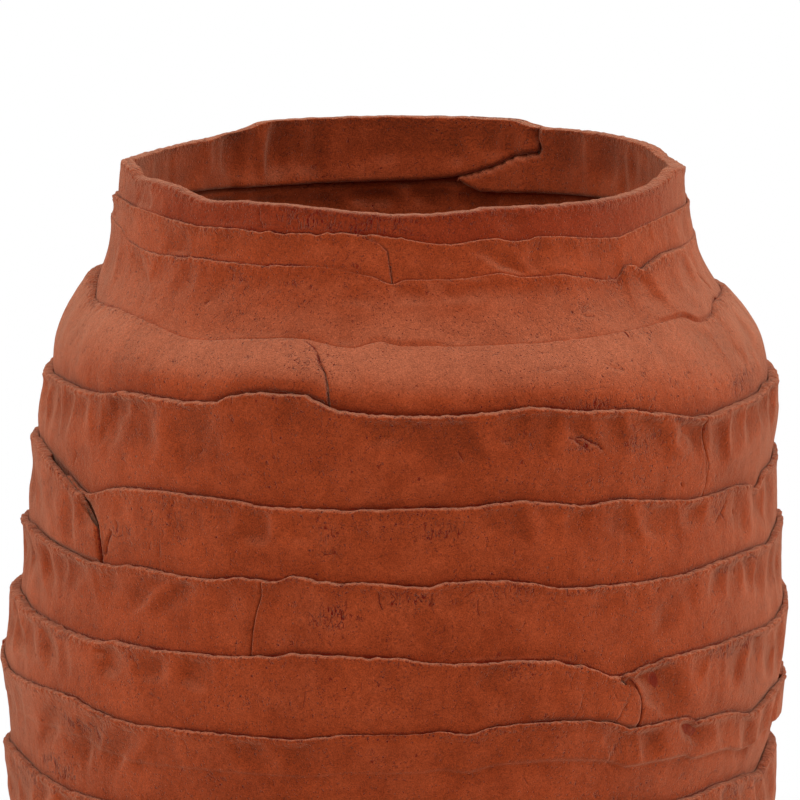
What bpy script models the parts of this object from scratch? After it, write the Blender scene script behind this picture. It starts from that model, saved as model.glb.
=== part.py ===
"""Hand-built terracotta vase: flattened clay straps laid in lapped courses on a turned-up floor slab.

Each course is two straps. A course's foot is tucked inside the lip of the course below it, and the two
straps of a course lap at their ends, one end outside the other. Metres, +Z up. The vase stands on Z = 0
with its axis near the Z line, and azimuth 0 is its front, -Y, with azimuth 90 at +X.
"""
import math
from collections import namedtuple
from functools import lru_cache

import bmesh
import bpy
from mathutils import Vector

# Driving sizes
HEIGHT = 0.385            # mean height of the rim
MOUTH_DIAMETER = 0.216    # outside of the rim
BELLY_DIAMETER = 0.2966   # between the two straps of a lap at the widest seam
FOOT_DIAMETER = 0.201     # the same at the floor slab's lip
WALL = 0.0055             # clay strap's thickness
FOOT_THICKNESS = 0.0032   # the strap's thickness at its tucked foot edge
LEAST_WALL = 0.0022       # the strap's least thickness outside a tucked foot
LAP_DEPTH = 0.012         # how far a foot is tucked below the lip outside it
FLOOR_THICKNESS = 0.007
FLOOR_LIP = 0.0036        # thickness of the floor slab's turned-up edge
SEAM_GAP = 0.0003         # clearance between neighbouring pieces of clay
END_LAP = 0.033           # length of the lap between two straps' ends
END_RISE = 0.0018         # how far a lapped end swells the wall
LIP_WAVE = 1.0            # 1 gives the lips their real waviness, 0 makes them level

# The values in millimetres below were picked on a vase of this height, and grow with HEIGHT
PICKED_HEIGHT = 0.385
MM = 0.001 * HEIGHT / PICKED_HEIGHT

# Shares of a course's height
DEEPEST_LAP_SHARE = 0.7   # most of a course that a foot tucked inside it reaches down
SHELF_SHARE = 0.06        # slope inside a lip, below the tucked foot
FOOT_CLEAR_SHARE = 0.08   # where a strap is wholly outside the lip below it
NOSE_SHARE = 0.05         # a lip's fullest point below its top

# Shares of a lip's thickness
LIP_TOP_SHARE = 0.75      # its flat top
NOSE_DROP_SHARE = 0.3     # its fullest point below its top

# Shares of the wall inside the cut between two lapped ends, at the outer end's start and at its tip
THIN_SPLIT_SHARE = 0.36
THICK_SPLIT_SHARE = 0.56

# Shares of the floor slab's thickness and of its lip's
FLOOR_CHAMFER_SHARE = 0.25
FLOOR_SHOULDER_SHARE = 0.5
FLOOR_TOP_SHARE = 0.7

# Stations round the vase: every piece has its corners on these, so that laid pieces share their facets
STATIONS = 39
STEP = 360 / STATIONS
EDGE_TURN = 1.2           # degrees over which a strap steps at the end of a lap

# A seam is where a course's foot meets the lip of the course below. Height is a share of HEIGHT, and girth
# runs from 0 at the mouth to 1 at the belly, then back to 0 at the foot. Flare is the outward run for each
# unit down, side and front are how far the seam's centre is off the axis in mm, and proud gives the step
# that its lip makes outside the course above, in mm, at the left, the front, the right and the back.
Seam = namedtuple("Seam", "height girth flare side front proud wave")

# Waves are mm above the seam's mean height at degrees of azimuth, smooth in between
SEAMS = [
    Seam(1.000, 0.00, 0.00, 0.0, 0.0, (4.7, 5.5, 5.5, 5.5), (
        (-170, 4), (-152, 4), (-133, -1), (-109, -2), (-86, 3), (-65, 1), (-50, -1), (-33, -1), (0, -3),
        (30, -2), (56, -2), (74, 2), (100, -2), (119, 1), (135, 2), (150, 1), (160, 4))),
    Seam(0.969, 0.01, -0.05, 0.1, 0.3, (2.3, 1.6, 0.8, 1.5), (
        (-165, 2), (-130, 0), (-85, 4), (-63, 2), (-42, 0), (-12, 2), (8, -2), (36, -2), (48, -5), (66, -1),
        (87, -2), (130, 2))),
    Seam(0.932, 0.052, -0.02, 0.4, 0.3, (1.0, 1.0, 1.0, 1.0), (
        (-160, -1), (-125, 3), (-80, 6), (-60, 1), (-20, 3), (-2, -2), (17, 1), (38, -3), (46, -6), (52, -1),
        (80, -1), (125, 2))),
    Seam(0.873, 0.29, 0.60, 0.6, 0.0, (3.5, 0.8, 3.5, 2.0), (
        (-150, 0), (-120, 4), (-90, 8), (-62, 2), (-38, -2), (-18, 1), (-9, -1), (30, 0), (57, 0), (64, -3),
        (80, 2), (130, -1))),
    Seam(0.806, 0.705, 0.0, 3.4, -0.5, (4.4, 4.6, 4.0, 4.2), (
        (-155, 3), (-120, -2), (-84, -3), (-48, 2), (-34, 3), (-21, 9), (-10, 3), (2, 1), (16, 3), (36, -1),
        (49, -8), (70, -6), (78, -3), (110, -4), (140, 2))),
    Seam(0.717, 0.794, -0.05, 1.6, -0.5, (3.3, 3.3, 3.0, 3.2), (
        (-155, -2), (-120, 3), (-80, 8), (-68, 3), (-57, -5), (-42, 2), (-18, 0), (17, 3), (28, 0), (50, -4),
        (69, -8), (78, -2), (115, 1), (145, -2))),
    Seam(0.643, 0.868, -0.08, 0.2, 0.0, (3.2, 3.0, 2.8, 3.0), (
        (-150, 1), (-115, -2), (-78, 5), (-51, -1), (-18, 3), (2, 0), (13, 2), (28, -3), (48, -3), (68, -1),
        (85, 2), (130, 0))),
    Seam(0.567, 0.938, -0.10, 0.2, 0.6, (4.0, 3.0, 2.2, 3.0), (
        (-160, 0), (-120, 3), (-85, 5), (-68, 3), (-48, 0), (-14, 4), (18, 1), (34, -9), (46, -4), (78, -1),
        (110, 3), (145, -2))),
    Seam(0.498, 1.0, -0.15, -3.2, 0.5, (1.5, 1.3, 1.5, 1.5), (
        (-155, -2), (-120, 2), (-84, 7), (-55, 3), (-36, -3), (0, 0), (22, 4), (40, -3), (66, -8), (78, -3),
        (110, 0), (140, 3))),
    Seam(0.417, 0.941, -0.20, -4.4, 0.0, (2.5, 2.5, 2.0, 2.5), (
        (-155, 1), (-120, -1), (-84, 4), (-76, 6), (-50, -2), (-15, 1), (20, -1), (50, -4), (62, -2),
        (74, -3), (88, 3), (135, 1))),
    Seam(0.345, 0.946, -0.30, -3.8, -0.4, (2.8, 3.0, 2.6, 2.8), (
        (-140, 2), (-95, -1), (-60, 2), (-25, -2), (12, 2), (55, -1), (95, 2), (130, -2), (175, 1))),
    Seam(0.270, 0.815, -0.40, -2.4, -0.3, (3.0, 2.6, 3.0, 2.8), (
        (-160, -1), (-110, 2), (-70, -2), (-30, 1), (5, -2), (40, 2), (80, -2), (120, 1), (150, 2))),
    Seam(0.197, 0.617, -0.50, -1.2, 0.0, (2.6, 2.8, 2.6, 3.0), (
        (-150, 2), (-105, -2), (-65, 1), (-20, 2), (25, -2), (60, 1), (100, -1), (140, -2), (170, 1))),
    Seam(0.130, 0.366, -0.60, -0.4, 0.2, (2.6, 2.4, 2.8, 2.6), (
        (-165, -1), (-120, 1), (-80, 2), (-35, -1), (10, 1), (50, -2), (90, 1), (135, 2))),
    Seam(0.070, 0.115, -0.55, 0.0, 0.0, (2.2, 2.4, 2.2, 2.4), (
        (-150, 1), (-100, -1), (-45, 1), (0, -1), (60, 1), (110, -1), (160, 0))),
    Seam(0.034, 0.0, -0.50, 0.0, 0.0, (3.6, 3.6, 3.6, 3.6), (
        (-140, 1), (-70, -1), (-10, 0), (50, 1), (120, -1), (170, 0))),
]
BELLY_SEAM = 8

# A joint is where two straps of a course lap: the outer end's azimuth, and which strap is outside, 1 for the
# one that comes from lower azimuths and -1 for the other.
Joint = namedtuple("Joint", "azimuth side")

# Bulge is how far the middle of a course stands out from the straight line between its seams, in mm
Course = namedtuple("Course", "name bulge joints straps")

COURSES = [
    Course("rim", 0.0, (Joint(-78, 1), Joint(168, 1)), ("front", "back")),
    Course("neck_upper", 0.0, (Joint(-3, 1), Joint(176, 1)), ("right", "left")),
    Course("neck_lower", -1.5, (Joint(-115, 1), Joint(70, 1)), ("front", "back")),
    Course("shoulder_upper", 4.5, (Joint(-12, 1), Joint(168, 1)), ("right", "left")),
    Course("shoulder_lower", 1.0, (Joint(-130, 1), Joint(56, 1)), ("front", "back")),
    Course("belly_1", 0.5, (Joint(-51, 1), Joint(132, 1)), ("front", "back")),
    Course("belly_2", -0.5, (Joint(-22, -1), Joint(158, 1)), ("right", "left")),
    Course("belly_3", 0.6, (Joint(-140, 1), Joint(39, 1)), ("left", "right")),
    Course("belly_4", 0.8, (Joint(-96, 1), Joint(101, 1)), ("front", "back")),
    Course("belly_5", 0.5, (Joint(-158, 1), Joint(20, 1)), ("left", "right")),
    Course("lower_wall_1", 1.5, (Joint(-32, 1), Joint(140, 1)), ("right", "left")),
    Course("lower_wall_2", 2.0, (Joint(-130, 1), Joint(50, 1)), ("front", "back")),
    Course("lower_wall_3", 2.2, (Joint(-5, 1), Joint(176, 1)), ("right", "left")),
    Course("lower_wall_4", 2.0, (Joint(-148, 1), Joint(32, 1)), ("left", "right")),
    Course("foot", 1.0, (Joint(-60, 1), Joint(122, 1)), ("front", "back")),
]
FLOOR_SEAM = len(COURSES)

CLAY_COLOUR = (0.30, 0.075, 0.030)
FLOOR_COLOUR = (0.22, 0.055, 0.024)
CLAY_ROUGHNESS = 0.85


def smooth(share):
    """Eased share, level at 0 and at 1."""
    share = min(max(share, 0), 1)
    return share * share * (3 - 2 * share)


def read_wave(points, azimuth):
    """Height of a closed run of (azimuth, rise) points at an azimuth, eased from point to point."""
    turned = (azimuth + 180) % 360 - 180
    before = [p for p in points if p[0] <= turned] or [(points[-1][0] - 360, points[-1][1])]
    after = [p for p in points if p[0] > turned] or [(points[0][0] + 360, points[0][1])]
    low, high = before[-1], after[0]
    return low[1] + (high[1] - low[1]) * smooth((turned - low[0]) / (high[0] - low[0]))


@lru_cache(maxsize=None)
def lip_height(seam, station):
    """Height of a seam's lip at a station, following its hand-chosen waves."""
    shape = SEAMS[seam]
    return shape.height * HEIGHT + read_wave(shape.wave, station * STEP) * MM * LIP_WAVE


def course_height(course, station):
    """Height from the lip below a course to its own lip, at a station."""
    return lip_height(course, station) - lip_height(course + 1, station)


@lru_cache(maxsize=None)
def proud(seam, station):
    """Thickness of a seam's lip at a station: how far it steps out past the course above."""
    left, front, right, back = SEAMS[seam].proud
    points = ((-90, left), (0, front), (90, right), (180, back))
    return read_wave(points, station * STEP) * MM


def seam_radius(seam, station, height):
    """Radius of a seam's meeting surface at a station and a height."""
    shape = SEAMS[seam]
    end = MOUTH_DIAMETER / 2 if seam < BELLY_SEAM else FOOT_DIAMETER / 2
    girth = end + (BELLY_DIAMETER / 2 - end) * shape.girth
    if seam == 0:
        girth -= WALL + SEAM_GAP / 2
    angle = math.radians(station * STEP)
    off_centre = (shape.side * math.sin(angle) + shape.front * math.cos(angle)) * MM
    return girth + off_centre + shape.flare * (shape.height * HEIGHT - height)


LIP, NOSE, UPPER, SHELF_FOOT, LOWER, FOOT = range(6)
OUTER_CORNERS = (LIP, NOSE, UPPER, LOWER, FOOT)
INNER_CORNERS = (FOOT, SHELF_FOOT, UPPER, LIP)


@lru_cache(maxsize=None)
def band_levels(course, station):
    """Heights, inner radii and outer radii of a whole strap's section corners at a station, lip to foot."""
    half_gap = SEAM_GAP / 2
    top = lip_height(course, station)
    below = lip_height(course + 1, station)
    band = course_height(course, station)
    lip = proud(course, station)
    if course + 1 == FLOOR_SEAM:
        foot = FLOOR_THICKNESS + SEAM_GAP
    else:
        foot = below - min(LAP_DEPTH, DEEPEST_LAP_SHARE * course_height(course + 1, station))
    nose = top - NOSE_DROP_SHARE * lip - NOSE_SHARE * band
    shelf = top - min(LAP_DEPTH, DEEPEST_LAP_SHARE * band) - SHELF_SHARE * band
    shelf_foot = shelf - SHELF_SHARE * band
    lower = below + FOOT_CLEAR_SHARE * band

    def behind_lip(height):
        return seam_radius(course, station, height) + half_gap

    def before_foot(height):
        return seam_radius(course + 1, station, height) - half_gap

    def face(height):
        share = (top - height) / band
        straight = (behind_lip(top) + lip) * (1 - share) + before_foot(below) * share
        return straight + COURSES[course].bulge * MM * 4 * share * (1 - share)

    heights = {LIP: top, NOSE: nose, UPPER: shelf, SHELF_FOOT: shelf_foot, LOWER: lower, FOOT: foot}
    outer = {
        LIP: behind_lip(top) + LIP_TOP_SHARE * lip,
        NOSE: max(face(nose), behind_lip(nose) + lip),
        UPPER: max(face(shelf), behind_lip(shelf) + LEAST_WALL),
        LOWER: before_foot(lower),
        FOOT: before_foot(foot),
    }
    inner = {
        LIP: behind_lip(top),
        UPPER: behind_lip(shelf),
        SHELF_FOOT: face(shelf_foot) - WALL,
        FOOT: before_foot(foot) - FOOT_THICKNESS,
    }
    return heights, inner, outer


def cut_radii(heights, inner, outer, split, rise):
    """Radii of the cut between two lapped ends, at the corners that both of them share."""
    cut = {level: inner[level] * (1 - split) + outer[level] * split for level in (LIP, UPPER, FOOT)}
    cut[LOWER] = outer[LOWER] - (FOOT_THICKNESS + rise) * (1 - split)
    down = (heights[LIP] - heights[NOSE]) / (heights[LIP] - heights[UPPER])
    cut[NOSE] = cut[LIP] * (1 - down) + cut[UPPER] * down
    return cut


def section_corners(course, station, part, split, swell):
    """Section of a whole strap, or of the outer or inner end in a lap, as points round its outline.

    A lap swells the wall on its free side: outwards above the tucked foot and inwards along it.
    """
    heights, inner, outer = band_levels(course, station)
    rise = END_RISE * swell
    inner = {level: radius - (rise if level >= SHELF_FOOT else 0) for level, radius in inner.items()}
    outer = {level: radius + (rise if level < SHELF_FOOT else 0) for level, radius in outer.items()}
    inner_levels = INNER_CORNERS
    if part != "whole":
        cut = cut_radii(heights, inner, outer, split, rise)
    if part == "outer":
        inner = {level: radius + SEAM_GAP / 2 for level, radius in cut.items()}
        inner_levels = (FOOT, LOWER, UPPER, LIP)
    if part == "inner":
        outer = {level: radius - SEAM_GAP / 2 for level, radius in cut.items()}
    outline = [(outer[level], heights[level]) for level in OUTER_CORNERS]
    outline += [(inner[level], heights[level]) for level in inner_levels]
    angle = math.radians(station * STEP)
    return [Vector((r * math.sin(angle), -r * math.cos(angle), h)) for r, h in outline]


def section(course, azimuth, part, split, swell):
    """A section at any azimuth, straight between the two nearest stations."""
    first = math.floor(azimuth / STEP)
    near = section_corners(course, first, part, split, swell)
    far = section_corners(course, first + 1, part, split, swell)
    share = azimuth / STEP - first
    return [a.lerp(b, share) for a, b in zip(near, far)]


def loft(name, outlines):
    """Closed body through a run of matching outlines, each extruded from the one before."""
    mesh = bpy.data.meshes.new(name)
    bm = bmesh.new()
    corner = bm.verts.layers.int.new("corner")
    ring = [bm.verts.new(point) for point in outlines[0]]
    for number, vert in enumerate(ring):
        vert[corner] = number
    bm.faces.new(ring)
    edges = [bm.edges.get((ring[i - 1], ring[i])) for i in range(len(ring))]
    for outline in outlines[1:]:
        grown = bmesh.ops.extrude_edge_only(bm, edges=edges)["geom"]
        ring = [item for item in grown if isinstance(item, bmesh.types.BMVert)]
        edges = [item for item in grown if isinstance(item, bmesh.types.BMEdge)]
        for vert in ring:
            vert.co = outline[vert[corner]]
    ring.sort(key=lambda vert: vert[corner])
    bm.faces.new(ring)
    bm.normal_update()
    bmesh.ops.triangulate(bm, faces=bm.faces, quad_method="SHORT_EDGE", ngon_method="BEAUTY")
    bmesh.ops.recalc_face_normals(bm, faces=bm.faces)
    bm.to_mesh(mesh)
    bm.free()
    mesh.shade_smooth()
    mesh.set_sharp_from_angle(angle=math.radians(40))
    return mesh


def lap_edges(course, joint):
    """Azimuths where a lap between two ends starts and stops."""
    reach = math.degrees(END_LAP / seam_radius(course, 0, lip_height(course, 0)))
    if joint.side > 0:
        return joint.azimuth - reach, joint.azimuth
    return joint.azimuth, joint.azimuth + reach


def end_split(course, joint, azimuth):
    """Share of the wall inside the cut between two lapped ends: each end is thinner at its tip."""
    low, high = lap_edges(course, joint)
    along = (azimuth - low) / (high - low)
    share = along if joint.side > 0 else 1 - along
    return THIN_SPLIT_SHARE * (1 - share) + THICK_SPLIT_SHARE * share


def strap_sections(course, first, last):
    """Sections of one strap from its end at the first joint to its end at the last one."""
    start_low, start_high = lap_edges(course, first)
    stop_low, stop_high = lap_edges(course, last)
    gap_turn = math.degrees(SEAM_GAP / seam_radius(course, 0, lip_height(course, 0)))
    marks = [
        start_low,
        start_high + gap_turn,
        start_high + gap_turn + EDGE_TURN,
        stop_low - gap_turn - EDGE_TURN,
        stop_low - gap_turn,
        stop_high,
    ]
    grid = [n * STEP for n in range(math.ceil(start_low / STEP), math.floor(stop_high / STEP) + 1)]
    spaced = [a for a in grid if min(abs(a - mark) for mark in marks) > 0.02]
    sections = []
    for azimuth in sorted(marks + spaced):
        if azimuth <= marks[1]:
            part = "inner" if first.side > 0 else "outer"
            split = end_split(course, first, azimuth)
            swell = 1
        elif azimuth >= marks[4]:
            part = "outer" if last.side > 0 else "inner"
            split = end_split(course, last, azimuth)
            swell = 1
        else:
            part = "whole"
            split = 0
            fade_in = (azimuth - marks[1]) / STEP if first.side < 0 else 1
            fade_out = (marks[4] - azimuth) / STEP if last.side > 0 else 1
            swell = 1 - smooth(min(fade_in, fade_out))
        sections.append(section(course, azimuth, part, split, swell))
    return sections


def floor_loops():
    """Level loops of the floor slab: out under the vase, up the turned-up edge and back down inside it."""
    half_gap = SEAM_GAP / 2
    chamfer = FLOOR_CHAMFER_SHARE * FLOOR_THICKNESS

    def radius(station, height):
        return seam_radius(FLOOR_SEAM, station, height)

    def loop(place):
        points = []
        for station in range(STATIONS):
            angle = math.radians(station * STEP)
            reach, height = place(station)
            points.append(Vector((reach * math.sin(angle), -reach * math.cos(angle), height)))
        return points

    def lip(station):
        return lip_height(FLOOR_SEAM, station)

    return [
        loop(lambda s: (radius(s, 0) + FLOOR_LIP - chamfer, 0)),
        loop(lambda s: (radius(s, 0) + FLOOR_LIP, chamfer)),
        loop(lambda s: (radius(s, lip(s)) + half_gap + FLOOR_LIP, lip(s) - FLOOR_SHOULDER_SHARE * FLOOR_LIP)),
        loop(lambda s: (radius(s, lip(s)) + half_gap + FLOOR_TOP_SHARE * FLOOR_LIP, lip(s))),
        loop(lambda s: (radius(s, lip(s)) + half_gap, lip(s))),
        loop(lambda s: (radius(s, FLOOR_THICKNESS) + half_gap, FLOOR_THICKNESS)),
    ]


def clay(name, colour):
    """Matte fired clay."""
    material = bpy.data.materials.new(name)
    material.use_nodes = True
    shader = material.node_tree.nodes["Principled BSDF"]
    shader.inputs["Base Color"].default_value = (*colour, 1)
    shader.inputs["Roughness"].default_value = CLAY_ROUGHNESS
    shader.inputs["Metallic"].default_value = 0
    return material


def add_piece(name, mesh, colour):
    """Object for one piece of clay, with its own material."""
    mesh.materials.append(clay(name, colour))
    piece = bpy.data.objects.new(name, mesh)
    bpy.context.scene.collection.objects.link(piece)
    return piece


def build_vase():
    """All straps from the rim down, then the floor slab that the lowest course stands in."""
    for number, course in enumerate(COURSES):
        first, second = course.joints
        around = second, Joint(first.azimuth + 360, first.side)
        for label, (start, stop) in zip(course.straps, ((first, second), around)):
            name = f"{course.name}_strap_{label}"
            add_piece(name, loft(name, strap_sections(number, start, stop)), CLAY_COLOUR)
    add_piece("floor_slab", loft("floor_slab", floor_loops()), FLOOR_COLOUR)


for leftover in list(bpy.data.objects):
    bpy.data.objects.remove(leftover, do_unlink=True)

build_vase()
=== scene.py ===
import math

import bmesh
import bpy
import numpy as np
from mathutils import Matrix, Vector


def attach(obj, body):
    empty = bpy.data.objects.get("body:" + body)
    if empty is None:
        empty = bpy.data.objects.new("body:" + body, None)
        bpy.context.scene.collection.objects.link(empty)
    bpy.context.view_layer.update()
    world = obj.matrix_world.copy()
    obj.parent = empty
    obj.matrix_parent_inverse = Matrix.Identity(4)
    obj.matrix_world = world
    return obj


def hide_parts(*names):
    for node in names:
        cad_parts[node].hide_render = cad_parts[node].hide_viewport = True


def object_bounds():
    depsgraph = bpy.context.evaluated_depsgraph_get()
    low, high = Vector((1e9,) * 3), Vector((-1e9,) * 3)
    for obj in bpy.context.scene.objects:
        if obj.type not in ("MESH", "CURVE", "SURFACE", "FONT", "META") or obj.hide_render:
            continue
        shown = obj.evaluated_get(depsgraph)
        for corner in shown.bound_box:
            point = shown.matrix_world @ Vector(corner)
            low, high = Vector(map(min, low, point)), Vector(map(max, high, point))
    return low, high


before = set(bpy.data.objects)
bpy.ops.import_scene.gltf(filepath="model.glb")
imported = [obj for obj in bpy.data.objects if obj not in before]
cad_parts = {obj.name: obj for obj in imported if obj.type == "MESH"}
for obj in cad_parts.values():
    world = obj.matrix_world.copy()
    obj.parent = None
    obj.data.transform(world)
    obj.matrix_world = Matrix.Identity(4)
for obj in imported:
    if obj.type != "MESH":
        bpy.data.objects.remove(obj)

# Hand-built terracotta vase: flat clay straps bent round into lapped courses on a turned-up floor slab.
# Lengths are in mm until a mesh is finished, azimuth is in degrees, 0 at the front (-Y) and 90 at +X.
cadLow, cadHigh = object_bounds()
print("frame loaded", len(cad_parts), "nodes")

pot = {
    "mouth": 108.0,         # radii of the seams' meeting surfaces, between which girth is a share
    "belly": 148.3,
    "base": 100.5,
    "rimInset": 5.65,       # the rim's own upper edge meets nothing and lies this far inside
    "wall": 5.5,
    "tuckedWall": 3.2,      # thickness of a strap's tucked foot edge
    "leastWall": 2.2,
    "leastNeckWall": 0.5,
    "lapDepth": 12.0,       # how far a foot is tucked below the lip outside it
    "deepestLap": 0.7,      # the same, as the largest share of a band's height
    "shelf": 0.06,          # room left below a tucked foot, as a share of the band
    "gap": 0.3,
    "endLap": 33.0,         # length of the lap between two straps' ends
    "swellRun": 23.0,       # length over which the wall swells before a lap
    "slantRun": 14.0,       # degrees over which the columns take up a strap end's slant
    "bellySeam": 8,
    "floorSeam": 15,
    "floorFoot": 7.3,       # height of the lowest course's foot, on the floor slab
    "seenCourses": 10,      # courses above the photograph's lower edge
    "clayRadius": 148.0,    # radius on which the clay's unevenness is laid out
    "crackUnit": 0.42,      # mm that distances from joints are counted in, and from cracks in half widths
    "farAway": 9.0,         # what such distances hold where nothing is near
}

# Corners of a strap's mesh, in mm from its lip, its foot or its ends, and the spacing between them.
strapGrid = {
    "fine": 0.65,
    "coarse": 1.45,
    "insideFine": 1.4,
    "insideCoarse": 5.0,
    "ends": (0, 0.12, 0.35, 0.7, 1.1, 1.6, 2.2),
    "lipInside": (3.0, 2.0, 1.3, 0.8, 0.4, 0.15, 0.0),
    "lipOutside": (0.0, 0.15, 0.4, 0.75, 1.2, 1.75, 2.4, 3.1, 3.9),
    "footInside": (0.0, 0.3, 0.8, 1.5, 2.2),
    "footOutside": (0.8, 0.3, 0.0),
}

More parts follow.
